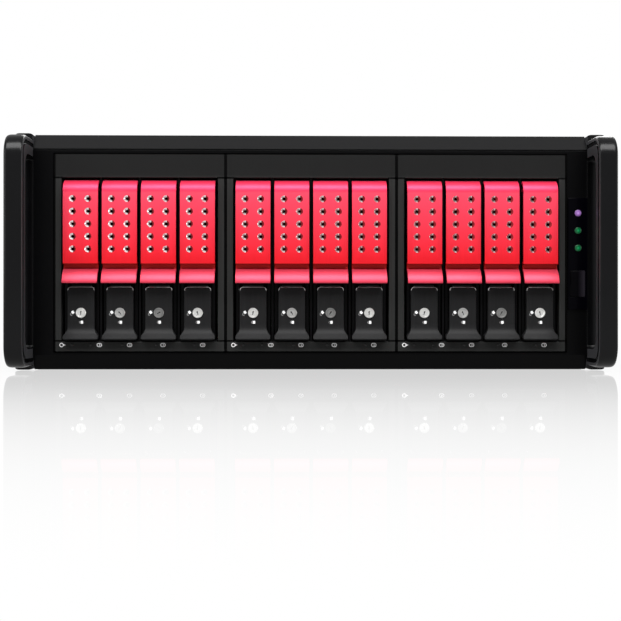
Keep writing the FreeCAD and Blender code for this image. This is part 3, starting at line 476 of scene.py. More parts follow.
# The handles' flat side faces painted lighter: painted light.
HANDLE_SIDE_PAINTED_LIGHT = Moulded("handle_side", (0.040, 0.040, 0.043), 0.34, grain=0.0009, depth=0.05,
                      specular=0.2)
CAGE_BLACK = Brushed(
    "cage_black", (0.021, 0.0215, 0.021), 0.42, metallic=0.0, specular=0.08, coat=0.0,
    contrast=0.3, top=(0.0085, 0.0085, 0.0085), top_low=0.143, top_high=0.146)
JOINT_BLACK = Moulded("joint_black", (0.0012, 0.0012, 0.0012), 0.6, depth=0.0, specular=0.02)
CABINET_BLACK = PowderCoat("cabinet_black", (0.008, 0.008, 0.009), 0.46, specular=0.25)
# Pinker towards the top: a painted highlight from the lamp above.
LEVER_RED = LeverRedWithPaintedLight(
    "lever_red", (0.83, 0.010, 0.022), 0.42, metallic=0.5, specular=0.25, coat=0.05,
    contrast=0.1, top=(0.93, 0.085, 0.16), top_low=0.018, top_high=0.078)
CUT_RIM = Metal("diamond_cut_rim", (1.0, 0.93, 0.93), 0.28)
# Dark red on the cone faces that face left: painted shade.
CUT_PAINTED_SHADE = Metal("diamond_cut_shade", (0.30, 0.025, 0.03), 0.3)
# Near black on the bores: painted shade inside the holes.
HOLE_PAINTED_SHADE = Moulded("hole_black", (0.003, 0.001, 0.001), 0.5, depth=0.0, specular=0.05)
LEVER_FINISHES = (LEVER_RED, CUT_RIM, CUT_PAINTED_SHADE, HOLE_PAINTED_SHADE)
LATCH_BLACK = Brushed("latch_black", (0.012, 0.012, 0.0124), 0.36, metallic=0.0, specular=0.08,
                      coat=0.0, contrast=0.35)
# The latch's top edge: bare cut metal, painted light grey as a painted highlight that shows in the
# lip's shadow.
LATCH_EDGE_PAINTED_HIGHLIGHT = Moulded("latch_edge", (0.70, 0.70, 0.70), 0.35, depth=0.0)
# Three nickels, each darker and a little rougher, given to the locks in turn round each cage.
NICKEL = Metal("lock_nickel", (0.80, 0.80, 0.78), 0.3, grain=0.0008)
NICKEL_DARKER = Metal("lock_nickel_satin", (0.52, 0.52, 0.51), 0.32, grain=0.0008)
NICKEL_DARKEST = Metal("lock_nickel_worn", (0.27, 0.27, 0.265), 0.34, grain=0.0008)
KEYWAY_GREY = Metal("keyway_grey", (0.22, 0.22, 0.22), 0.4)
LOCK_FACES = (NICKEL, NICKEL_DARKER, NICKEL_DARKEST, NICKEL)
PRINT_WHITE = Moulded("mark_white", (0.86, 0.86, 0.86), 0.5, depth=0.05)
PRINT_GREY = Moulded("mark_grey", (0.22, 0.22, 0.22), 0.5, depth=0.05)
PANEL_GLOSS = Moulded("panel_gloss", (0.0006, 0.0005, 0.0014), 0.14, depth=0.02, specular=0.04)
# Lighter towards the right side: a painted sheen.
BUTTON_GLOSS_PAINTED_SHEEN = Brushed(
    "button_gloss", (0.0006, 0.0005, 0.001), 0.3, metallic=0.0, specular=0.04, coat=0.0,
    top=(0.022, 0.019, 0.026), top_axis="X", top_low=0.2000, top_high=0.2060)
TRAY_BLACK = Brushed("tray_black", (0.002, 0.002, 0.0022), 0.4, along=(0.0, 1.0, 0.0),
                     metallic=0.0, specular=0.05, coat=0.0)
FAN_BLACK = Moulded("fan_black", (0.014, 0.014, 0.015), 0.38)
SOCKET_BLACK = Moulded("socket_black", (0.011, 0.011, 0.011), 0.3)
SUPPLY_GREY = Metal("supply_steel", (0.50, 0.51, 0.52), 0.38, grain=0.004)
PORT_STEEL = Metal("port_steel", (0.66, 0.66, 0.65), 0.3)
SCREW_ZINC = Metal("screw_black_zinc", (0.13, 0.13, 0.135), 0.33)
BOARD_GREEN = CircuitBoard("board_green", (0.012, 0.075, 0.035), 0.35)
LAMP_OFF = Moulded("lamp_off", (0.003, 0.003, 0.003), 0.2, depth=0.0, specular=0.3)
LENS_PURPLE = Lens("lens_purple", (0.16, 0.08, 0.22), 0.12, glow=(0.17, 0.065, 0.27),
                   core=(0.44, 0.27, 0.60))
LENS_GREEN = Lens("lens_green", (0.0, 0.04, 0.012), 0.12, glow=(0.0, 0.085, 0.024),
                  core=(0.012, 0.28, 0.09))


# ---------------------------------------------------------------- outlines and meshes

def bow(start: Flat, end: Flat, radius: float, steps: int = 8) -> list[Flat]:
    """
    Points on an arc between two points.

    Args:
        start: Where the arc begins; it isn't among the points returned.
        end: Where the arc ends.
        radius: The arc's radius; a plus bends it to the left, a minus to the right.
        steps: How many points to return.

    Returns:
        The points after the start, the end included.
    """
    span, rise = end[0] - start[0], end[1] - start[1]
    chord = math.hypot(span, rise)
    depth = math.sqrt(max(radius ** 2 - chord ** 2 / 4, 0.0)) * math.copysign(1, radius)
    middle = ((start[0] + end[0]) / 2 - rise / chord * depth,
              (start[1] + end[1]) / 2 + span / chord * depth)
    first = math.atan2(start[1] - middle[1], start[0] - middle[0])
    turn = 2 * math.asin(min(1.0, chord / 2 / abs(radius))) * math.copysign(1, radius)
    return [(middle[0] + abs(radius) * math.cos(first + turn * k / steps),
             middle[1] + abs(radius) * math.sin(first + turn * k / steps))
            for k in range(1, steps + 1)]


def rounded(low: Flat, high: Flat, radii: Sequence[float], steps: int = 6) -> list[Flat]:
    """
    A rectangle with a radius at each corner, counter-clockwise from its low corner.

    Args:
        low: The lowest corner.
        high: The highest corner.
        radii: The radius at low-low, high-low, high-high and low-high.
        steps: The points that each corner gets, less one.

    Returns:
        The outline, with as many points whatever the radii are.
    """
    corners = ((low[0], low[1], 1, 1, 180), (high[0], low[1], -1, 1, 270),
               (high[0], high[1], -1, -1, 0), (low[0], high[1], 1, -1, 90))
    points = []
    for (h, v, to_h, to_v, angle), radius in zip(corners, radii):
        radius = max(radius, LEAST_RADIUS)
        for k in range(steps + 1):
            turn = math.radians(angle + 90 * k / steps)
            points.append((h + to_h * radius + radius * math.cos(turn),
                           v + to_v * radius + radius * math.sin(turn)))
    return points


def circle(radius: float, steps: int, middle: Flat) -> list[Flat]:
    """Points round a circle."""
    return [(middle[0] + radius * math.cos(math.tau * k / steps),
             middle[1] + radius * math.sin(math.tau * k / steps)) for k in range(steps)]


class Facing(Enum):
    """How an outline's two numbers and a depth become a point."""

    SIDE = "the outline is seen from the side, the depth is x"
    FRONT = "the outline is seen from the front, the depth is y"

    def point(self, flat: Flat, depth: float) -> Point:
        """The outline's point at a depth."""
        if self is Facing.SIDE:
            return (depth, flat[0], flat[1])
        return (flat[0], depth, flat[1])


class Shape:
    """A mesh in the making, put together from lofts; each part of it has a finish."""

    def __init__(self) -> None:
        """Starts with nothing."""
        self.points: list[Point] = []
        self.faces: list[tuple[int, ...]] = []
        self.finishes: list[int] = []

    def loft(self, rings: Sequence[Sequence[Point]], finish: int = 0,
             wrap: bool = False) -> "Shape":
        """
        Skins a row of rings that have as many points each.

        Args:
            rings: The rings, from one end to the other.
            finish: The number of the finish that the faces get.
            wrap: Whether the last ring joins the first, as in a hoop, or each end gets a face.

        Returns:
            The shape, so that calls can follow each other.
        """
        start, count = len(self.points), len(rings[0])
        for ring in rings:
            self.points.extend(ring)
        for row in range(len(rings) if wrap else len(rings) - 1):
            near = start + row * count
            far = start + (row + 1) % len(rings) * count
            for k in range(count):
                after = (k + 1) % count
                self._face((near + k, near + after, far + after, far + k), finish)
        if not wrap:
            last = start + (len(rings) - 1) * count
            self._face(tuple(range(start, start + count)), finish)
            self._face(tuple(range(last, last + count)), finish)
        return self

    def _face(self, corners: tuple[int, ...], finish: int) -> None:
        """Notes one face."""
        self.faces.append(corners)
        self.finishes.append(finish)

    def prism(self, outline: Sequence[Flat], facing: Facing, near: float, far: float,
              finish: int = 0) -> "Shape":
        """Pushes an outline from one depth to another."""
        rings = [[facing.point(p, depth) for p in outline] for depth in (near, far)]
        return self.loft(rings, finish)

    def slab(self, low: Flat, high: Flat, near: float, far: float) -> "Shape":
        """Adds a plain rectangle that faces the front, from one depth to another."""
        return self.prism(rounded(low, high, [0.0] * 4, steps=1), Facing.FRONT, near, far)

    def turned(self, profile: Sequence[Flat], facing: Facing, middle: Flat = (0.0, 0.0),
               steps: int = 24, finish: int = 0) -> "Shape":
        """
        Turns a profile about an axis that runs along the depth.

        Args:
            profile: Pairs of a radius and a depth, from one end to the other.
            facing: Where the depth runs.
            middle: Where the axis lies in the outline's plane.
            steps: The points round each ring.
            finish: The number of the finish that the faces get.

        Returns:
            The shape.
        """
        rings = [[facing.point(p, depth) for p in circle(radius, steps, middle)]
                 for radius, depth in profile]
        return self.loft(rings, finish)

    def mesh(self, name: str) -> bpy.types.Mesh:
        """The shape as a mesh with its normals outwards."""
        made = bpy.data.meshes.new(name)
        made.from_pydata(self.points, [], self.faces)
        for face, finish in zip(made.polygons, self.finishes):
            face.material_index = finish
        work = bmesh.new()
        work.from_mesh(made)
        bmesh.ops.recalc_face_normals(work, faces=work.faces)
        work.to_mesh(made)
        work.free()
        return made


def settle(thing: bpy.types.Object) -> bpy.types.Mesh:
    """The object's mesh with its modifiers applied and its shading set by angle."""
    bpy.context.view_layer.update()
    graph = bpy.context.evaluated_depsgraph_get()
    return shaded(bpy.data.meshes.new_from_object(thing.evaluated_get(graph)))


def shaded(mesh: bpy.types.Mesh) -> bpy.types.Mesh:
    """Smooths a mesh between its sharp edges."""
    mesh.shade_smooth()
    mesh.set_sharp_from_angle(angle=SMOOTH_ANGLE)
    return mesh


def loose(mesh: bpy.types.Mesh) -> bpy.types.Object:
    """A mesh as an object in the scene."""
    made = bpy.data.objects.new(mesh.name, mesh)
    bpy.context.scene.collection.objects.link(made)
    return made


def carved(thing: bpy.types.Object, cutter: bpy.types.Mesh,
           crossing: bool = False) -> bpy.types.Mesh:
    """
    Takes a cutter's solids out of an object, and the object out of the scene.

    Args:
        thing: The object, with whatever modifiers it has.
        cutter: The solids to take away.
        crossing: Whether the cutter's solids run into each other.

    Returns:
        A new mesh, shaded by angle.
    """
    name, tool = thing.data.name, loose(cutter)
    hole = thing.modifiers.new("hole", "BOOLEAN")
    hole.operation, hole.solver, hole.use_self, hole.object = "DIFFERENCE", "EXACT", crossing, tool
    made = settle(thing)
    made.name = name
    for used in (thing, tool):
        bpy.data.objects.remove(used)
    return made


def edged(thing: bpy.types.Object, width: float, segments: int) -> None:
    """Rounds an object's edges with a modifier."""
    edge = thing.modifiers.new("edge", "BEVEL")
    edge.width, edge.segments = width, segments
    edge.limit_method, edge.angle_limit = "ANGLE", SMOOTH_ANGLE


def place(name: str, mesh: bpy.types.Mesh, finishes: Sequence[Finish], body: str, slot: str,
          where: Sequence[float] = (0.0, 0.0, 0.0), turn: float = 0.0,
          instead: Iterable[str] = ()) -> bpy.types.Object:
    """
    Puts one piece in the scene.

    Args:
        name: The piece's name.
        mesh: Its mesh, which several pieces may share.
        finishes: The finishes that the mesh's numbers stand for.
        body: The body that it rides on.
        slot: The record's material slot; not used.
        where: Where its own origin goes.
        turn: How far it is turned about the axis that faces the front.
        instead: The CAD nodes that it stands for.

    Returns:
        The piece.
    """
    if not mesh.materials:
        for finish in finishes:
            mesh.materials.append(finish.material())
    made = bpy.data.objects.new(name, mesh)
    bpy.context.scene.collection.objects.link(made)
    made.location = where
    made.rotation_euler = (0.0, turn, 0.0)
    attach(made, body)
    nodes = tuple(instead)
    if nodes:
        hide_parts(*nodes)
    log.info("piece %s on %s", name, body)
    return made


def dress(node: str, finish: Finish, edge: float, segments: int = 2) -> None:
    """
    Gives a CAD node its finish and rounds its edges, with its own mesh left as it is.

    Args:
        node: The node's name.
        finish: The finish for all of it.
        edge: How wide the rounded edges are; 0 leaves them sharp.
        segments: The steps that the rounding gets.
    """
    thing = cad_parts[node]
    thing.data.materials.clear()
    thing.data.materials.append(finish.material())
    if edge:
        weld = thing.modifiers.new("weld", "WELD")
        weld.merge_threshold = WELD_GAP
        flat = thing.modifiers.new("flat", "DECIMATE")
        flat.decimate_type, flat.angle_limit = "DISSOLVE", FLAT_ANGLE
        edged(thing, edge, segments)
        even = thing.modifiers.new("even", "WEIGHTED_NORMAL")
        even.keep_sharp, even.weight = True, 100
    log.info("node %s in %s", node, finish.name)


def middle_of(node: str) -> Vector:
    """The middle of a CAD node's box."""
    low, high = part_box(node)
    return (low + high) / 2


def cage_row() -> tuple[Vector, Vector, float]:
    """The lowest and highest corners of the cages' surrounds, and the step between cages."""
    low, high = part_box("cage_frames")
    return low, high, (high.x - low.x) / CAGES


# ---------------------------------------------------------------- signs

@dataclass
class Signs:
    """The small printed marks: padlocks beside each lock, and the strip's pictograms."""

    film: float = 0.00006
    padlock_body: float = 0.0011
    body_ends: Flat = (-0.2, 1.5)
    body_corner: float = 0.35
    shackle_out: float = 0.00095
    shackle_in: float = 0.0005
    shut_hinge: Flat = (-0.35, 0.0)
    shut_arc: Flat = (90, 270)
    open_hinge: Flat = (-0.9, -0.55)
    open_arc: Flat = (60, 290)
    pointer_out: float = 0.0016
    pointer_in: float = 0.0010
    pointer_foot: float = 0.75
    pointer_half: float = 0.62
    pointer_tip: float = 1.9
    disk_size: Flat = (0.0020, 0.0015)
    disk_wall: float = 0.0006
    disk_corner: float = 0.95
    window_corner: float = 0.6
    dot: float = 0.00052
    dot_at: Flat = (0.0003, 0.0)

    def _print(self, shape: Shape, outline: Sequence[Flat], finish: int = 0) -> None:
        """Adds an outline as thick as the film."""
        shape.prism(outline, Facing.FRONT, -self.film, 0.0, finish)

    def _ring(self, shape: Shape, middle: Flat, radii: Flat, arc: Flat, steps: int = 12,
              finish: int = 0) -> None:
        """Adds a flat band bent round a point, from one angle in degrees to another."""
        (inner, outer), (first, last) = radii, arc
        angles = [math.radians(first + (last - first) * k / steps) for k in range(steps + 1)]
        for near, far in zip(angles, angles[1:]):
            turns = ((inner, near), (outer, near), (outer, far), (inner, far))
            self._print(shape, [(middle[0] + r * math.cos(a), middle[1] + r * math.sin(a))
                                for r, a in turns], finish)

    def padlock(self, name: str, closed: bool) -> bpy.types.Mesh:
        """A padlock lying on its side, shut or with its shackle swung out."""
        shape, side = Shape(), self.padlock_body
        left, right = (side * end for end in self.body_ends)
        self._print(shape, rounded((left, -side), (right, side), [side * self.body_corner] * 4,
                                   steps=4))
        hinge, arc = ((self.shut_hinge, self.shut_arc) if closed
                      else (self.open_hinge, self.open_arc))
        middle = (side * hinge[0], side * hinge[1])
        self._ring(shape, middle, (self.shackle_in, self.shackle_out), arc, finish=1)
        return shaded(shape.mesh(name))

    def pointer(self, name: str) -> bpy.types.Mesh:
        """A ring with a point to its right."""
        shape, outer = Shape(), self.pointer_out
        self._ring(shape, (0.0, 0.0), (self.pointer_in, outer), (0, 360), steps=24)
        foot, half = outer * self.pointer_foot, outer * self.pointer_half
        self._print(shape, [(foot, -half), (outer * self.pointer_tip, 0.0), (foot, half)])
        return shaded(shape.mesh(name))

    def disk(self, name: str) -> bpy.types.Mesh:
        """A disk drive's pictogram: a squat rounded outline with a dot to the right."""
        shape, wall = Shape(), self.disk_wall
        wide, high = self.disk_size
        outer = rounded((-wide, -high), (wide, high), [high * self.disk_corner] * 4)
        inner = rounded((-wide + wall, -high + wall), (wide - wall, high - wall),
                        [high * self.window_corner] * 4)
        levels = ((outer, 0.0), (outer, -self.film), (inner, -self.film), (inner, 0.0))
        shape.loft([[Facing.FRONT.point(p, d) for p in line] for line, d in levels], wrap=True)
        self._print(shape, circle(self.dot, steps=12, middle=self.dot_at))
        return shaded(shape.mesh(name))


# ---------------------------------------------------------------- drive bays

@dataclass
class Lever:
    """A pull lever: a bent plate with diamond-cut holes, an undercut and a curled finger lip."""

    wall: float = 0.0022
    bend: float = 0.009
    lip_high: float = 0.0112
    lip_reach: float = 0.005
    lip_edge: float = 0.001
    lip_curve: float = 0.014
    undercut_high: float = 0.003
    undercut_deep: float = 0.004
    edge: float = 0.0004
    hole_bore: float = 0.00112
    hole_rim: float = 0.0025
    hole_spread: float = 0.0115
    hole_pitch: float = 0.00935
    hole_drop: float = 0.0143
    hole_rows: int = 5
    # How far left a cone face may turn before it gets painted shade.
    rim_shade_turn: float = -0.12
    knuckle_radius: float = 0.0015
    knuckle_deep: float = 0.007
    knuckle_drop: float = 0.007
    knuckle_inset: float = 0.003
    knuckle_soft: float = 0.25
    web_start: float = 0.9
    tip_gap: float = 0.0002
    tip_share: float = 0.8
    bore_facing: float = 0.3
    size: Vector = field(init=False)

    def __post_init__(self) -> None:
        """Reads the lever's own width and height from the frame."""
        low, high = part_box("lever_01")
        self.size = high - low

    def outline(self) -> list[Flat]:
        """The plate seen from the side, with the face's front at 0 and the lip's foot at 0."""
        wall, reach, neck, high = self.wall, self.lip_reach, self.undercut_deep, self.size.z
        step = self.lip_high + self.undercut_high
        lip = [(neck, self.lip_high), (-reach, self.lip_edge)]
        inner = [(wall - reach, 0.0), (neck + wall, self.lip_high - self.lip_edge)]
        back = [(wall, high - self.bend), (self.bend, high - wall)]
        top = [(self.bend, high), (0.0, high - self.bend)]
        return ([(0.0, step), (neck, step), lip[0]] + bow(*lip, self.lip_curve)
                + [(-reach, 0.0), inner[0]] + bow(*inner, -self.lip_curve)
                + [(neck + wall, step + wall), (wall, step + wall), back[0]]
                + bow(*back, wall - self.bend) + [top[0]] + bow(*top, self.bend, steps=12)[:-1]
                + [top[1]])

    def cutter(self) -> bpy.types.Mesh:
        """The holes: a bore with a cone at its mouth, five rows of two."""
        shape = Shape()
        deep = self.hole_rim - self.hole_bore
        profile = [(self.hole_rim + deep, -deep), (self.hole_bore, deep),
                   (self.hole_bore, self.wall * 2)]
        for row in range(self.hole_rows):
            level = self.size.z - self.hole_drop - self.hole_pitch * row
            for side in (-1, 1):
                middle = (side * self.hole_spread / 2, level)
                shape.turned(profile, Facing.FRONT, middle, steps=28, finish=1)
        return shape.mesh("lever_holes")

    def mesh(self) -> bpy.types.Mesh:
        """The whole lever, with the knuckle that turns on the tray behind its top."""
        half = self.size.x / 2
        plate = loose(Shape().prism(self.outline(), Facing.SIDE, -half, half).mesh("lever"))
        edged(plate, self.edge, segments=2)
        made = carved(plate, self.cutter())
        for face in made.polygons:
            if face.material_index:
                # Cone faces that face left get painted shade, the others the bare cut metal.
                lit = 1 if face.normal.x > self.rim_shade_turn else 2
                # The bores get the near-black painted shade.
                face.material_index = 3 if abs(face.normal.y) < self.bore_facing else lit
        return joined("lever", made, shaded(self.knuckle(half).mesh("knuckle")))

    def knuckle(self, half: float) -> Shape:
        """The web behind the lever's top and the pin at its end, for half the lever's width."""
        axis = (self.knuckle_deep, self.size.z - self.knuckle_drop)
        radius, shape = self.knuckle_radius, Shape()
        soft, narrow, tip = radius * self.knuckle_soft, radius * self.tip_share, half - self.tip_gap
        web = rounded((self.wall * self.web_start, axis[1] - radius), (axis[0], axis[1] + radius),
                      [soft] * 4)
        shape.prism(web, Facing.SIDE, self.knuckle_inset - half, half - self.knuckle_inset)
        pin = [(narrow, -tip), (radius, soft - tip), (radius, tip - soft), (narrow, tip)]
        return shape.turned(pin, Facing.SIDE, axis)


def joined(name: str, *meshes: bpy.types.Mesh) -> bpy.types.Mesh:
    """Several meshes as one, their finish numbers kept."""
    work = bmesh.new()
    for mesh in meshes:
        work.from_mesh(mesh)
    made = bpy.data.meshes.new(name)
    work.to_mesh(made)
    work.free()
    return shaded(made)


@dataclass
class Latch:
    """A latch: a brushed plate that sweeps forward and flares at its foot."""

    wide: float = 0.020
    corner: float = 0.0026
    flare_high: float = 0.0032
    flare_rise: float = 0.0058
    thick: float = 0.0045
    foot_reach: float = 0.0045
    foot_edge: float = 0.001
    sweep_top: float = 0.0126
    sweep_curve: float = 0.018
    chamfer: float = 0.0006
    tongue_high: float = 0.0014
    tongue_back: float = 0.0026
    edge: float = 0.0005
    edge_most: float = 0.4
    edge_knee: float = 0.3
    foot_round: float = 0.0012
    foot_step: float = 0.0004
    flare_power: float = 1.8
    sweep_steps: int = 18
    corner_steps: int = 10
    tongue_step: float = 0.00002
    edge_facing: float = 0.3
    size: Vector = field(init=False)

    def __post_init__(self) -> None:
        """Reads the latch's own width and height from the frame."""
        low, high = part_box("latch_01")
        self.size = high - low

    def half_width(self, level: float) -> float:
        """Half the width at a level: wide at the foot, narrow above, round at the top."""
        foot, narrow = self.size.x / 2, self.wide / 2
        rim = self.size.z - self.tongue_high
        if level <= self.flare_high:
            return foot - self.rounding(self.foot_round, self.foot_round - level)
        if level < self.flare_high + self.flare_rise:
            share = (level - self.flare_high) / self.flare_rise
            return narrow + (foot - narrow) * (1 - share) ** self.flare_power
        if level > rim:
            return narrow - self.corner
        return narrow - self.rounding(self.corner, level - (rim - self.corner))

    @staticmethod
    def rounding(radius: float, over: float) -> float:
        """What a rounded corner takes off the width, so far past where it begins."""
        return radius - math.sqrt(max(0.0, radius ** 2 - over ** 2)) if over > 0 else 0.0

    def front(self, level: float) -> float:
        """How far forward the face lies at a level; 0 is the flat part."""
        if level <= self.foot_edge:
            return -self.foot_reach
        if level < self.sweep_top:
            return -self.sweep(level)
        if level > self.size.z - self.tongue_high:
            return self.tongue_back
        return max(0.0, level - (self.size.z - self.tongue_high - self.chamfer))

    def sweep(self, level: float) -> float:
        """The height of the hollow sweep over the flat face: part of a circle."""
        radius = self.sweep_curve
        up = self.sweep_top - level
        full = radius - math.sqrt(radius ** 2 - (self.sweep_top - self.foot_edge) ** 2)
        return self.foot_reach * (radius - math.sqrt(radius ** 2 - up ** 2)) / full

    def levels(self) -> list[float]:
        """The heights where the plate's section is taken, close together where it bends."""
        top = self.size.z
        rim, rise = top - self.tongue_high, self.sweep_top - self.foot_edge
        foot = [k * self.foot_step for k in range(4)]
        bend = [self.foot_edge + rise * k / self.sweep_steps
                for k in range(1, self.sweep_steps + 1)]
        edge = [rim - self.corner * (1 - math.sin(math.radians(90 * k / self.corner_steps)))
                for k in range(self.corner_steps + 1)]
        return sorted({*foot, *bend, *edge, rim - self.chamfer, rim + self.tongue_step, top})

    def mesh(self) -> bpy.types.Mesh:
        """The plate, lofted from the foot to the top, with its front edges rounded and a painted
        highlight along its top edge.
        """
        rings = []
        for level in self.levels():
            half, near = self.half_width(level), self.front(level)
            soft = min(self.edge, half * self.edge_most)
            knee = soft * self.edge_knee
            right = [(half, self.thick), (half, near + soft), (half - knee, near + knee),
                     (half - soft, near)]
            ring = right + [(-h, y) for h, y in reversed(right)]
            rings.append([(h, y, level) for h, y in ring])
        made = shaded(Shape().loft(rings).mesh("latch"))
        # The top chamfer and top corners get the edge's light grey painted highlight.
        for face in made.polygons:
            under = self.size.z - self.tongue_high - face.center.z
            at_corner = abs(face.normal.x) > self.edge_facing and 0.0 < under < self.corner
            if face.normal.y < -self.edge_facing and (0.0 < under < self.chamfer or at_corner):
                face.material_index = 1
        return made


@dataclass
class Lock:
    """A key lock's face: a nickel ring round a recessed plug with a keyway."""

    radius: float = 0.0038
    proud: float = 0.0008
    back: float = 0.0015
    plug: float = 0.0026
    plug_flat: float = 0.45
    tip: float = 0.00001
    edge: float = 0.00022
    recess: float = 0.0004
    keyway_long: float = 0.0015
    keyway_wide: float = 0.00028
    keyway_out: float = 0.001
    keyway_deep: float = 0.0008
    keyway_corner: float = 0.5
    ward_low: Flat = (-2.4, 0.1)
    ward_high: Flat = (0.5, 0.65)
    ward_out: float = 0.0012
    ward_deep: float = 0.00075
    ward_corner: float = 0.3

    def mesh(self) -> bpy.types.Mesh:
        """The face, turned, with the keyway cut out of its plug."""
        out, plug, near, step = self.radius, self.plug, -self.proud, self.edge
        floor = near + self.recess / 2
        profile = [(out, self.back), (out, near + step), (out - step, near),
                   (plug + step * 2, near), (plug + step, near + step), (plug, near + self.recess),
                   (plug - step, floor), (plug * self.plug_flat, floor), (self.tip, floor)]
        face = Shape().turned(profile, Facing.FRONT, steps=40)
        return carved(loose(face.mesh("lock")), self.keyway(near).mesh("keyway"), crossing=True)

    def keyway(self, near: float) -> Shape:
        """The upright slot and the ward at its left, cut from the ring's front."""
        shape, long, wide = Shape(), self.keyway_long, self.keyway_wide
        ward = [(wide * across, long * up) for across, up in (self.ward_low, self.ward_high)]
        for (low, high), corner, before, deep in (
                (((-wide, -long), (wide, long)), self.keyway_corner, self.keyway_out,
                 self.keyway_deep),
                (ward, self.ward_corner, self.ward_out, self.ward_deep)):
            shape.prism(rounded(low, high, [wide * corner] * 4, steps=3), Facing.FRONT,
                        near - before, deep, finish=1)
        return shape


@dataclass
class DriveBays:
    """The twelve bays: tray, lever, latch, lock and the lock's two marks."""

    lever: Lever = field(default_factory=Lever)
    latch: Latch = field(default_factory=Latch)
    lock: Lock = field(default_factory=Lock)
    signs: Signs = field(default_factory=Signs)
    lock_rise: float = 0.020
    open_left: float = 0.0066
    open_turn: float = -35
    shut_drop: float = 0.0070
    tray_edge: float = 0.0002
    key_turns: tuple[float, ...] = (8, -35, 62, -12, 15, -28, 40, 5, 20, -18, 33, -8)

    def build(self) -> None:
        """Makes each mesh once, the lock's once for each face, and fills every bay."""
        lever, latch, lock = self.lever.mesh(), self.latch.mesh(), self.lock.mesh()
        locks = {finish: lock.copy() for finish in LOCK_FACES}
        open_mark = self.signs.padlock("padlock_open", closed=False)
        shut_mark = self.signs.padlock("padlock_shut", closed=True)
        inks = (PRINT_WHITE, PRINT_GREY)
        for index in range(CAGES * BAYS_PER_CAGE):
            number = f"{index + 1:02d}"
            arm, body = f"lever_{number}", f"latch_{number}"
            middle, foot = middle_of(arm).x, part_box(arm)[0]
            place(f"pull_{arm}", lever, LEVER_FINISHES, arm, "lever_red",
                  (middle, foot.y + self.lever.lip_reach, foot.z), instead=[arm])
            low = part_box(body)[0]
            flat, level = low.y + self.latch.foot_reach, low.z + self.lock_rise
            place(f"lock_{body}", latch, (LATCH_BLACK, LATCH_EDGE_PAINTED_HIGHLIGHT), body, "latch_black",
                  (middle, flat, low.z), instead=[body])
            face = LOCK_FACES[index % BAYS_PER_CAGE]
            place(f"key_lock_{number}", locks[face], (face, KEYWAY_GREY), body, "screw_steel",
                  (middle, flat, level), math.radians(self.key_turns[index]))
            place(f"mark_open_{number}", open_mark, inks, body, "lamp_lens",
                  (middle - self.open_left, flat, level), math.radians(self.open_turn))
            place(f"mark_shut_{number}", shut_mark, inks, body, "lamp_lens",
                  (middle, flat, level - self.shut_drop))
            dress(f"tray_{number}", TRAY_BLACK, self.tray_edge)


# ---------------------------------------------------------------- cage fronts

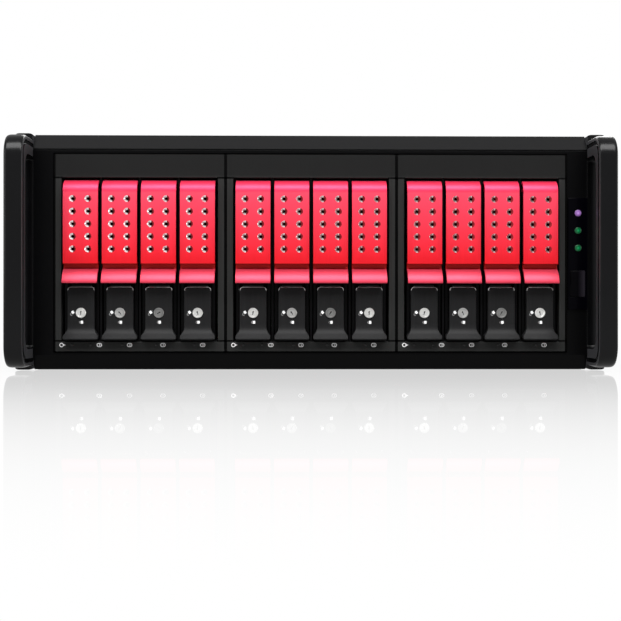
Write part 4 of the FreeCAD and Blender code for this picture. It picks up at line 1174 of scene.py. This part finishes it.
@dataclass
class CageFronts:
    """The three cages' surrounds with their dark joints, bay dividers and pictograms."""

    surround_edge: float = 0.0004
    mark_rise: float = 0.0053
    pointer_at: float = 0.0058
    disk_at: tuple[float, ...] = (0.0339, 0.0564, 0.0813, 0.1109)
    joint_high: float = 0.14385
    joint_low: float = 0.0220
    joint_wide: float = 0.0012
    seam_wide: float = 0.0022
    border_wide: float = 0.0013
    window_gap: float = 0.0012
    divider_wide: float = 0.0016
    divider_lap: float = 0.0015
    divider_back: float = 0.0015
    signs: Signs = field(default_factory=Signs)

    def build(self) -> None:
        """Dresses the cages, and adds their joints, dividers and pictograms."""
        dress("cage_frames", CAGE_BLACK, self.surround_edge)
        dress("cage_shells", CABINET_BLACK, 0.0)
        dress("backplanes", BOARD_GREEN, 0.0)
        low, _, pitch = cage_row()
        pointer, disk = self.signs.pointer("pointer"), self.signs.disk("disk_sign")
        place("cage_joints", self.joints(), (JOINT_BLACK,), "enclosure", "cage_plastic")
        place("bay_dividers", self.dividers(), (TRAY_BLACK,), "enclosure", "cage_plastic")
        for cage in range(CAGES):
            marks = [(f"sign_pointer_{cage + 1}", pointer, self.pointer_at)]
            marks += [(f"sign_disk_{cage + 1}_{index + 1}", disk, step)
                      for index, step in enumerate(self.disk_at)]
            for name, mesh, step in marks:
                where = (low.x + pitch * cage + step, low.y, low.z + self.mark_rise)
                place(name, mesh, (PRINT_WHITE,), "enclosure", "lamp_lens", where)

    def joints(self) -> bpy.types.Mesh:
        """The thin dark strips round each cage, and where its blank plate and lower strip begin."""
        low, high, pitch = cage_row()
        shape, rim, half = Shape(), self.border_wide / 2, self.joint_wide / 2
        strips = []
        for cage in range(CAGES + 1):
            across = low.x + pitch * cage
            before = self.seam_wide / 2 if cage < CAGES else self.border_wide
            after = self.seam_wide / 2 if cage else self.border_wide
            left = across - before if cage else low.x
            right = across + after if cage < CAGES else high.x
            strips.append(((left, low.z), (right, high.z)))
        strips.append(((low.x, high.z - rim), (high.x, high.z)))
        strips.append(((low.x, low.z), (high.x, low.z + rim)))
        for cage in range(CAGES):
            left, bay = low.x + pitch * cage, cage * BAYS_PER_CAGE
            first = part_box(f"lever_{bay + 1:02d}")[0].x - self.window_gap
            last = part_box(f"lever_{bay + BAYS_PER_CAGE:02d}")[1].x + self.window_gap
            strips += [((start, level - half), (end, level + half))
                       for level in (self.joint_low, self.joint_high)
                       for start, end in ((left, first), (last, left + pitch))]
        for start, end in strips:
            shape.slab(start, end, low.y - self.signs.film, low.y)
        return shape.mesh("cage_joints")

    def dividers(self) -> bpy.types.Mesh:
        """The thin upright fins between the bays, held by the surrounds above and below them."""
        low, high, _ = cage_row()
        shape, half = Shape(), self.divider_wide / 2
        foot, head = self.joint_low - self.divider_lap, self.joint_high + self.divider_lap
        for bay in range(1, CAGES * BAYS_PER_CAGE):
            if bay % BAYS_PER_CAGE:
                left, right = (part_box(f"tray_{number:02d}") for number in (bay, bay + 1))
                across = (left[1].x + right[0].x) / 2
                shape.slab((across - half, foot), (across + half, head),
                           low.y + self.divider_back, high.y - self.divider_back)
        return shape.mesh("bay_dividers")


# ---------------------------------------------------------------- bezel and handles

@dataclass
class Handle:
    """A bow handle: a deep flat bar with soft edges and a fine groove behind its front band."""

    grip_deep: float = 0.0135
    leg_high: float = 0.014
    finger_back: float = 0.006
    corner: float = 0.016
    inner_corner: float = 0.00925
    inner_back: float = 0.002
    inner_bend: tuple[Flat, ...] = ((1.0, 0.0), (0.6, 0.1), (0.3, 0.3), (0.1, 0.6), (0.0, 1.0))
    bend_steps: int = 10
    edge: float = 0.0014
    crown: float = 0.0034
    crown_steps: int = 6
    groove_in: float = 0.0034
    groove_wide: float = 0.0030
    groove_deep: float = 0.0007
    flange_share: float = 0.02
    flange_steps: tuple[int, ...] = (4, 4, 5, 4, 4)
    side_facing: float = 0.95

    def mesh(self, node: str) -> bpy.types.Mesh:
        """The handle as a hoop of rings: outside, grooved side face, opening, other side."""
        low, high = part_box(node)
        half, middle = (high.x - low.x) / 2, (low.x + high.x) / 2
        bezel_low, bezel_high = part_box("front_bezel")
        flange, foot, head = bezel_low.y, bezel_low.z, bezel_high.z

        def outer(inset: float) -> list[Flat]:
            """The outside outline, moved inwards; its rear flange is as high as the bezel."""
            soft = min(inset, self.edge) + max(inset - self.edge, 0.0) * self.flange_share
            bend = max(self.corner - inset, self.edge)
            bar = rounded((low.y + inset, low.z + inset), (flange, high.z - inset),
                          (bend, 0.0, 0.0, bend), self.bend_steps)
            plane, under, over = flange + soft, foot + soft, head - soft
            corners = [(plane, low.z + inset), (plane, under), (high.y, under), (high.y, over),
                       (plane, over), (plane, high.z - inset)]
            back: list[Flat] = []
            for (first, second), steps in zip(zip(corners, corners[1:]), self.flange_steps):
                back += [(first[0] + (second[0] - first[0]) * k / steps,
                          first[1] + (second[1] - first[1]) * k / steps) for k in range(steps)]
            bend_points = self.bend_steps + 1
            return bar[:bend_points] + back + [corners[-1]] + bar[-bend_points:]

        def inner(outset: float) -> list[Flat]:
            """The opening's outline, moved outwards."""
            front, back = self.inner_corner + outset, self.inner_back
            return rounded((low.y + self.grip_deep - outset, low.z + self.leg_high - outset),
                           (high.y - self.finger_back + outset, high.z - self.leg_high + outset),
                           (front, back, back, front), self.bend_steps)

        soft, near, deep = self.edge, self.groove_in, self.groove_deep
        side = []
        for k in range(self.crown_steps + 1):
            turn = math.radians(90 * k / self.crown_steps)
            side.append((outer(soft * (1 - math.cos(turn))),
                         half - self.crown * (1 - math.sin(turn))))
        far = near + self.groove_wide
        side += [(outer(inset), half - down)
                 for inset, down in ((near, 0.0), (near, deep), (far, deep), (far, 0.0))]
        side += [(inner(soft * out), half - soft * down) for out, down in self.inner_bend]
        right = [[(middle + depth, y, z) for y, z in line] for line, depth in side]
        left = [[(middle - depth, y, z) for y, z in line] for line, depth in reversed(side)]
        made = shaded(Shape().loft(right + left, wrap=True).mesh(node))
        # The flat side faces, apart from the groove's floor, get the lighter painted light.
        for face in made.polygons:
            out = abs(face.center.x - middle)
            if abs(face.normal.x) > self.side_facing and out > half - deep / 2:
                face.material_index = 1
        return made


@dataclass
class Bezel:
    """The channel across the front with its two handles and their screws."""

    handle: Handle = field(default_factory=Handle)
    edge: float = 0.0008
    screw_edge: float = 0.0002

    def build(self) -> None:
        """Dresses the channel and makes the handles."""
        dress("front_bezel", BEZEL_BLACK, self.edge, segments=3)
        dress("handle_screws", SCREW_ZINC, self.screw_edge)
        for node in ("handle_left", "handle_right"):
            place(f"bow_{node}", self.handle.mesh(node), (HANDLE_BLACK, HANDLE_SIDE_PAINTED_LIGHT),
                  "enclosure", "handle_black", instead=[node])


# ---------------------------------------------------------------- control panel

@dataclass
class Lamps:
    """The lit lamps of the control panel and the unlit ones on the cages' lower strips."""

    panel_radius: float = 0.0025
    panel_pitch: float = 0.0131
    panel_lift: float = 0.0005
    dome: float = 0.0010
    strip_radius: float = 0.0010
    strip_dome: float = 0.0004
    strip_rise: float = 0.0053
    strip_at: tuple[float, ...] = (0.0133, 0.0273, 0.0509, 0.0762, 0.1049)
    panel_finishes: tuple[Lens, ...] = (LENS_PURPLE, LENS_GREEN, LENS_GREEN)
    skirt_share: float = 0.4
    dome_steps: int = 6
    tip_share: float = 0.01

    def lens(self, radius: float, dome: float) -> list[Flat]:
        """The profile of a domed lens with a short skirt, from its foot to its crown."""
        skirt = dome * self.skirt_share
        turns = [math.radians(90 * k / self.dome_steps) for k in range(self.dome_steps)]
        bend = [(radius * math.cos(turn), -skirt - (dome - skirt) * math.sin(turn))
                for turn in turns]
        return [(radius, 0.0)] + bend + [(radius * self.tip_share, -dome)]

    def build(self) -> None:
        """Sets three lit lenses in the panel and a row of dark ones in each strip."""
        lit = self.lens(self.panel_radius, self.dome)
        across, face = middle_of("control_panel").x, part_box("control_panel")[0].y
        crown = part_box("status_lights")[1].z - self.panel_radius + self.panel_lift
        for index, finish in enumerate(self.panel_finishes):
            mesh = shaded(Shape().turned(lit, Facing.FRONT, steps=32).mesh("panel_lens"))
            place(f"panel_lamp_{index + 1}", mesh, (finish,), "enclosure", "lamp_lens",
                  (across, face, crown - self.panel_pitch * index), instead=["status_lights"])
        low, _, pitch = cage_row()
        row = Shape()
        for step in self.strip_at:
            row.turned(self.lens(self.strip_radius, self.strip_dome), Facing.FRONT,
                       (step, 0.0), steps=16)
        mesh = shaded(row.mesh("strip_lenses"))
        for cage in range(CAGES):
            place(f"strip_lamps_{cage + 1}", mesh, (LAMP_OFF,), "enclosure", "lamp_lens",
                  (low.x + pitch * cage, low.y, low.z + self.strip_rise),
                  instead=["status_lights"])


@dataclass
class ControlPanel:
    """The gloss strip at the right with its lamps and the power button."""

    lamps: Lamps = field(default_factory=Lamps)
    edge: float = 0.0004
    button_edge: float = 0.0009

    def build(self) -> None:
        """Dresses the strip and its button, and sets the lamps."""
        dress("control_panel", PANEL_GLOSS, self.edge)
        dress("power_button", BUTTON_GLOSS_PAINTED_SHEEN, self.button_edge, segments=4)
        self.lamps.build()


# ---------------------------------------------------------------- cabinet, fans and rear

@dataclass
class Cabinet:
    """The sheet-metal body with what its rear wall carries, and the fans."""

    edge: float = 0.0003
    fine_edge: float = 0.0002
    plain: tuple[tuple[str, Finish], ...] = (
        ("chassis_tub", CABINET_BLACK), ("top_cover", CABINET_BLACK), ("bay_frame", CABINET_BLACK),
        ("power_supply", SUPPLY_GREY), ("power_inlet", SOCKET_BLACK), ("psu_switch", SOCKET_BLACK))
    fine: tuple[tuple[str, Finish], ...] = (("case_screws", SCREW_ZINC), ("data_ports", PORT_STEEL))

    def build(self) -> None:
        """Dresses every node of the body."""
        fans = tuple((node, FAN_BLACK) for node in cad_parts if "fan" in node)
        for nodes, edge in ((self.plain + fans, self.edge), (self.fine, self.fine_edge)):
            for node, finish in nodes:
                dress(node, finish, edge)


# ---------------------------------------------------------------- studio

@dataclass(frozen=True)
class SoftBox:
    """A white lamp: where it stands, what it faces, its width and height, and its watts."""

    name: str
    where: Point
    aim: Point
    size: Flat
    power: float

    def build(self) -> None:
        """Sets the lamp."""
        data = bpy.data.lights.new(self.name, "AREA")
        data.shape, data.energy = "RECTANGLE", self.power
        data.size, data.size_y = self.size
        made = bpy.data.objects.new(self.name, data)
        made.location = self.where
        facing = Vector(self.where) - Vector(self.aim)
        made.rotation_euler = facing.to_track_quat("Z", "Y").to_euler()
        bpy.context.scene.collection.objects.link(made)


@dataclass
class Studio:
    """A pale floor, soft lamps and the camera in front."""

    camera_at: Point = (-0.01606, -1.0851, 0.04413)
    camera_pan: float = 0.985
    camera_tilt: float = 0.037
    camera_roll: float = 0.026
    lens: float = 70.27
    sensor: float = 36.0
    clip: Flat = (0.01, 100.0)
    ambient: float = 0.12
    backdrop: float = 0.6
    floor_half: float = 6.0
    floor_glow: float = 1.0
    shadow_reach: float = 0.3
    shadow_share: float = 0.08
    mirror_reach: float = 0.68
    mirror_share: float = 0.34
    mirror_roughness: float = 0.02
    floor_grey: Colour = (0.35, 0.35, 0.35)
    white: Colour = (1.0, 1.0, 1.0)
    lamps: tuple[SoftBox, ...] = (
        SoftBox("over", (0.0, -0.85, 1.05), (0.0, -0.18, 0.08), (1.7, 0.6), 31.0),
        SoftBox("right", (1.4, -0.32, 0.20), (0.0, -0.19, 0.10), (0.5, 0.5), 5.0),
        SoftBox("left", (-1.3, -0.9, 0.45), (0.0, -0.18, 0.09), (0.4, 0.8), 5.0),
        SoftBox("behind", (0.2, 1.3, 1.1), (0.0, 0.0, 0.08), (1.2, 0.7), 12.0))

    def camera(self) -> None:
        """Aims the camera at the front."""
        data = bpy.data.cameras.new("camera")
        data.lens, data.sensor_width = self.lens, self.sensor
        data.clip_start, data.clip_end = self.clip
        made = bpy.data.objects.new("camera", data)
        made.location = self.camera_at
        pan, tilt, roll = map(math.radians, (-self.camera_pan, self.camera_tilt, self.camera_roll))
        turn = (Matrix.Rotation(pan, 3, "Z") @ Matrix.Rotation(math.radians(90) + tilt, 3, "X")
                @ Matrix.Rotation(roll, 3, "Z"))
        made.rotation_euler = turn.to_euler()
        bpy.context.scene.collection.objects.link(made)
        bpy.context.scene.camera = made

    def world(self) -> None:
        """White for the camera, pale in reflections, and a plain low level of light elsewhere."""
        scene = bpy.context.scene
        scene.world = bpy.data.worlds.new("world")
        scene.world.use_nodes = True
        graph = Graph(scene.world.node_tree)
        camera = graph.node("ShaderNodeLightPath", output="Is Camera Ray")
        glossy = graph.node("ShaderNodeLightPath", output="Is Glossy Ray")
        level = camera * (1 - self.ambient) + glossy * (self.backdrop - self.ambient) + self.ambient
        graph.surface(graph.node("ShaderNodeBackground", sockets={
            "Color": (*self.white, 1.0), "Strength": level}))

    def floor(self) -> None:
        """A white floor with a soft shadow and a mirror image that fades with the distance."""
        half, level = self.floor_half, CAD_BOX[0][2]
        corners = [(-half, -half), (half, -half), (half, half), (-half, half)]
        mesh = bpy.data.meshes.new("floor")
        mesh.from_pydata([(*corner, level) for corner in corners], [], [(0, 1, 2, 3)])
        made = loose(mesh)
        material = bpy.data.materials.new("floor")
        material.use_nodes = True
        graph = Graph(material.node_tree)
        camera = graph.node("ShaderNodeLightPath", output="Is Camera Ray")
        away = self.away(graph)
        near = graph.ranged(away, (0.0, self.shadow_reach), (self.shadow_share, 0.0))
        image = graph.ranged(away, (0.0, self.mirror_reach), (self.mirror_share, 0.0), "SMOOTHSTEP")
        diffuse = graph.node("ShaderNodeBsdfDiffuse", sockets={"Color": (*self.floor_grey, 1.0)})
        glow = graph.node("ShaderNodeEmission", sockets={
            "Color": (*self.white, 1.0), "Strength": self.floor_glow})
        glossy = graph.node("ShaderNodeLightPath", output="Is Glossy Ray")
        ground = graph.node("ShaderNodeMixShader", sockets={
            0: camera * (1 - near) + glossy * self.backdrop, 1: diffuse, 2: glow})
        lift = 1 / self.backdrop
        mirror = graph.node("ShaderNodeBsdfAnisotropic", sockets={
            "Color": (lift, lift, lift, 1.0), "Roughness": self.mirror_roughness})
        graph.surface(graph.node("ShaderNodeMixShader", sockets={
            0: camera * image, 1: ground, 2: mirror}))
        mesh.materials.append(material)

    def away(self, graph: Graph) -> Socket:
        """How far a place on the floor lies outside the object's footprint."""
        (left, front, _), (right, back, _) = CAD_BOX
        place = graph.position()
        gaps = []
        for letter, first, last in (("X", left, right), ("Y", front, back)):
            offset = (graph.axis(place, letter) - (first + last) / 2).unsigned()
            gaps.append((offset - (last - first) / 2).at_least(0.0))
        return (gaps[0] * gaps[0] + gaps[1] * gaps[1]) ** 0.5

    def build(self) -> None:
        """Sets up everything round the object."""
        bpy.context.scene.view_settings.view_transform = "Standard"
        self.camera()
        for lamp in self.lamps:
            lamp.build()
        self.world()
        self.floor()


def main() -> None:
    """Builds the sub-assemblies and the studio."""
    logging.basicConfig(level=logging.INFO, format="%(name)s: %(message)s")
    for part in (Studio(), Cabinet(), Bezel(), CageFronts(), DriveBays(), ControlPanel()):
        part.build()
        log.info("%s done", type(part).__name__)


if __name__ == "__main__":
    main()
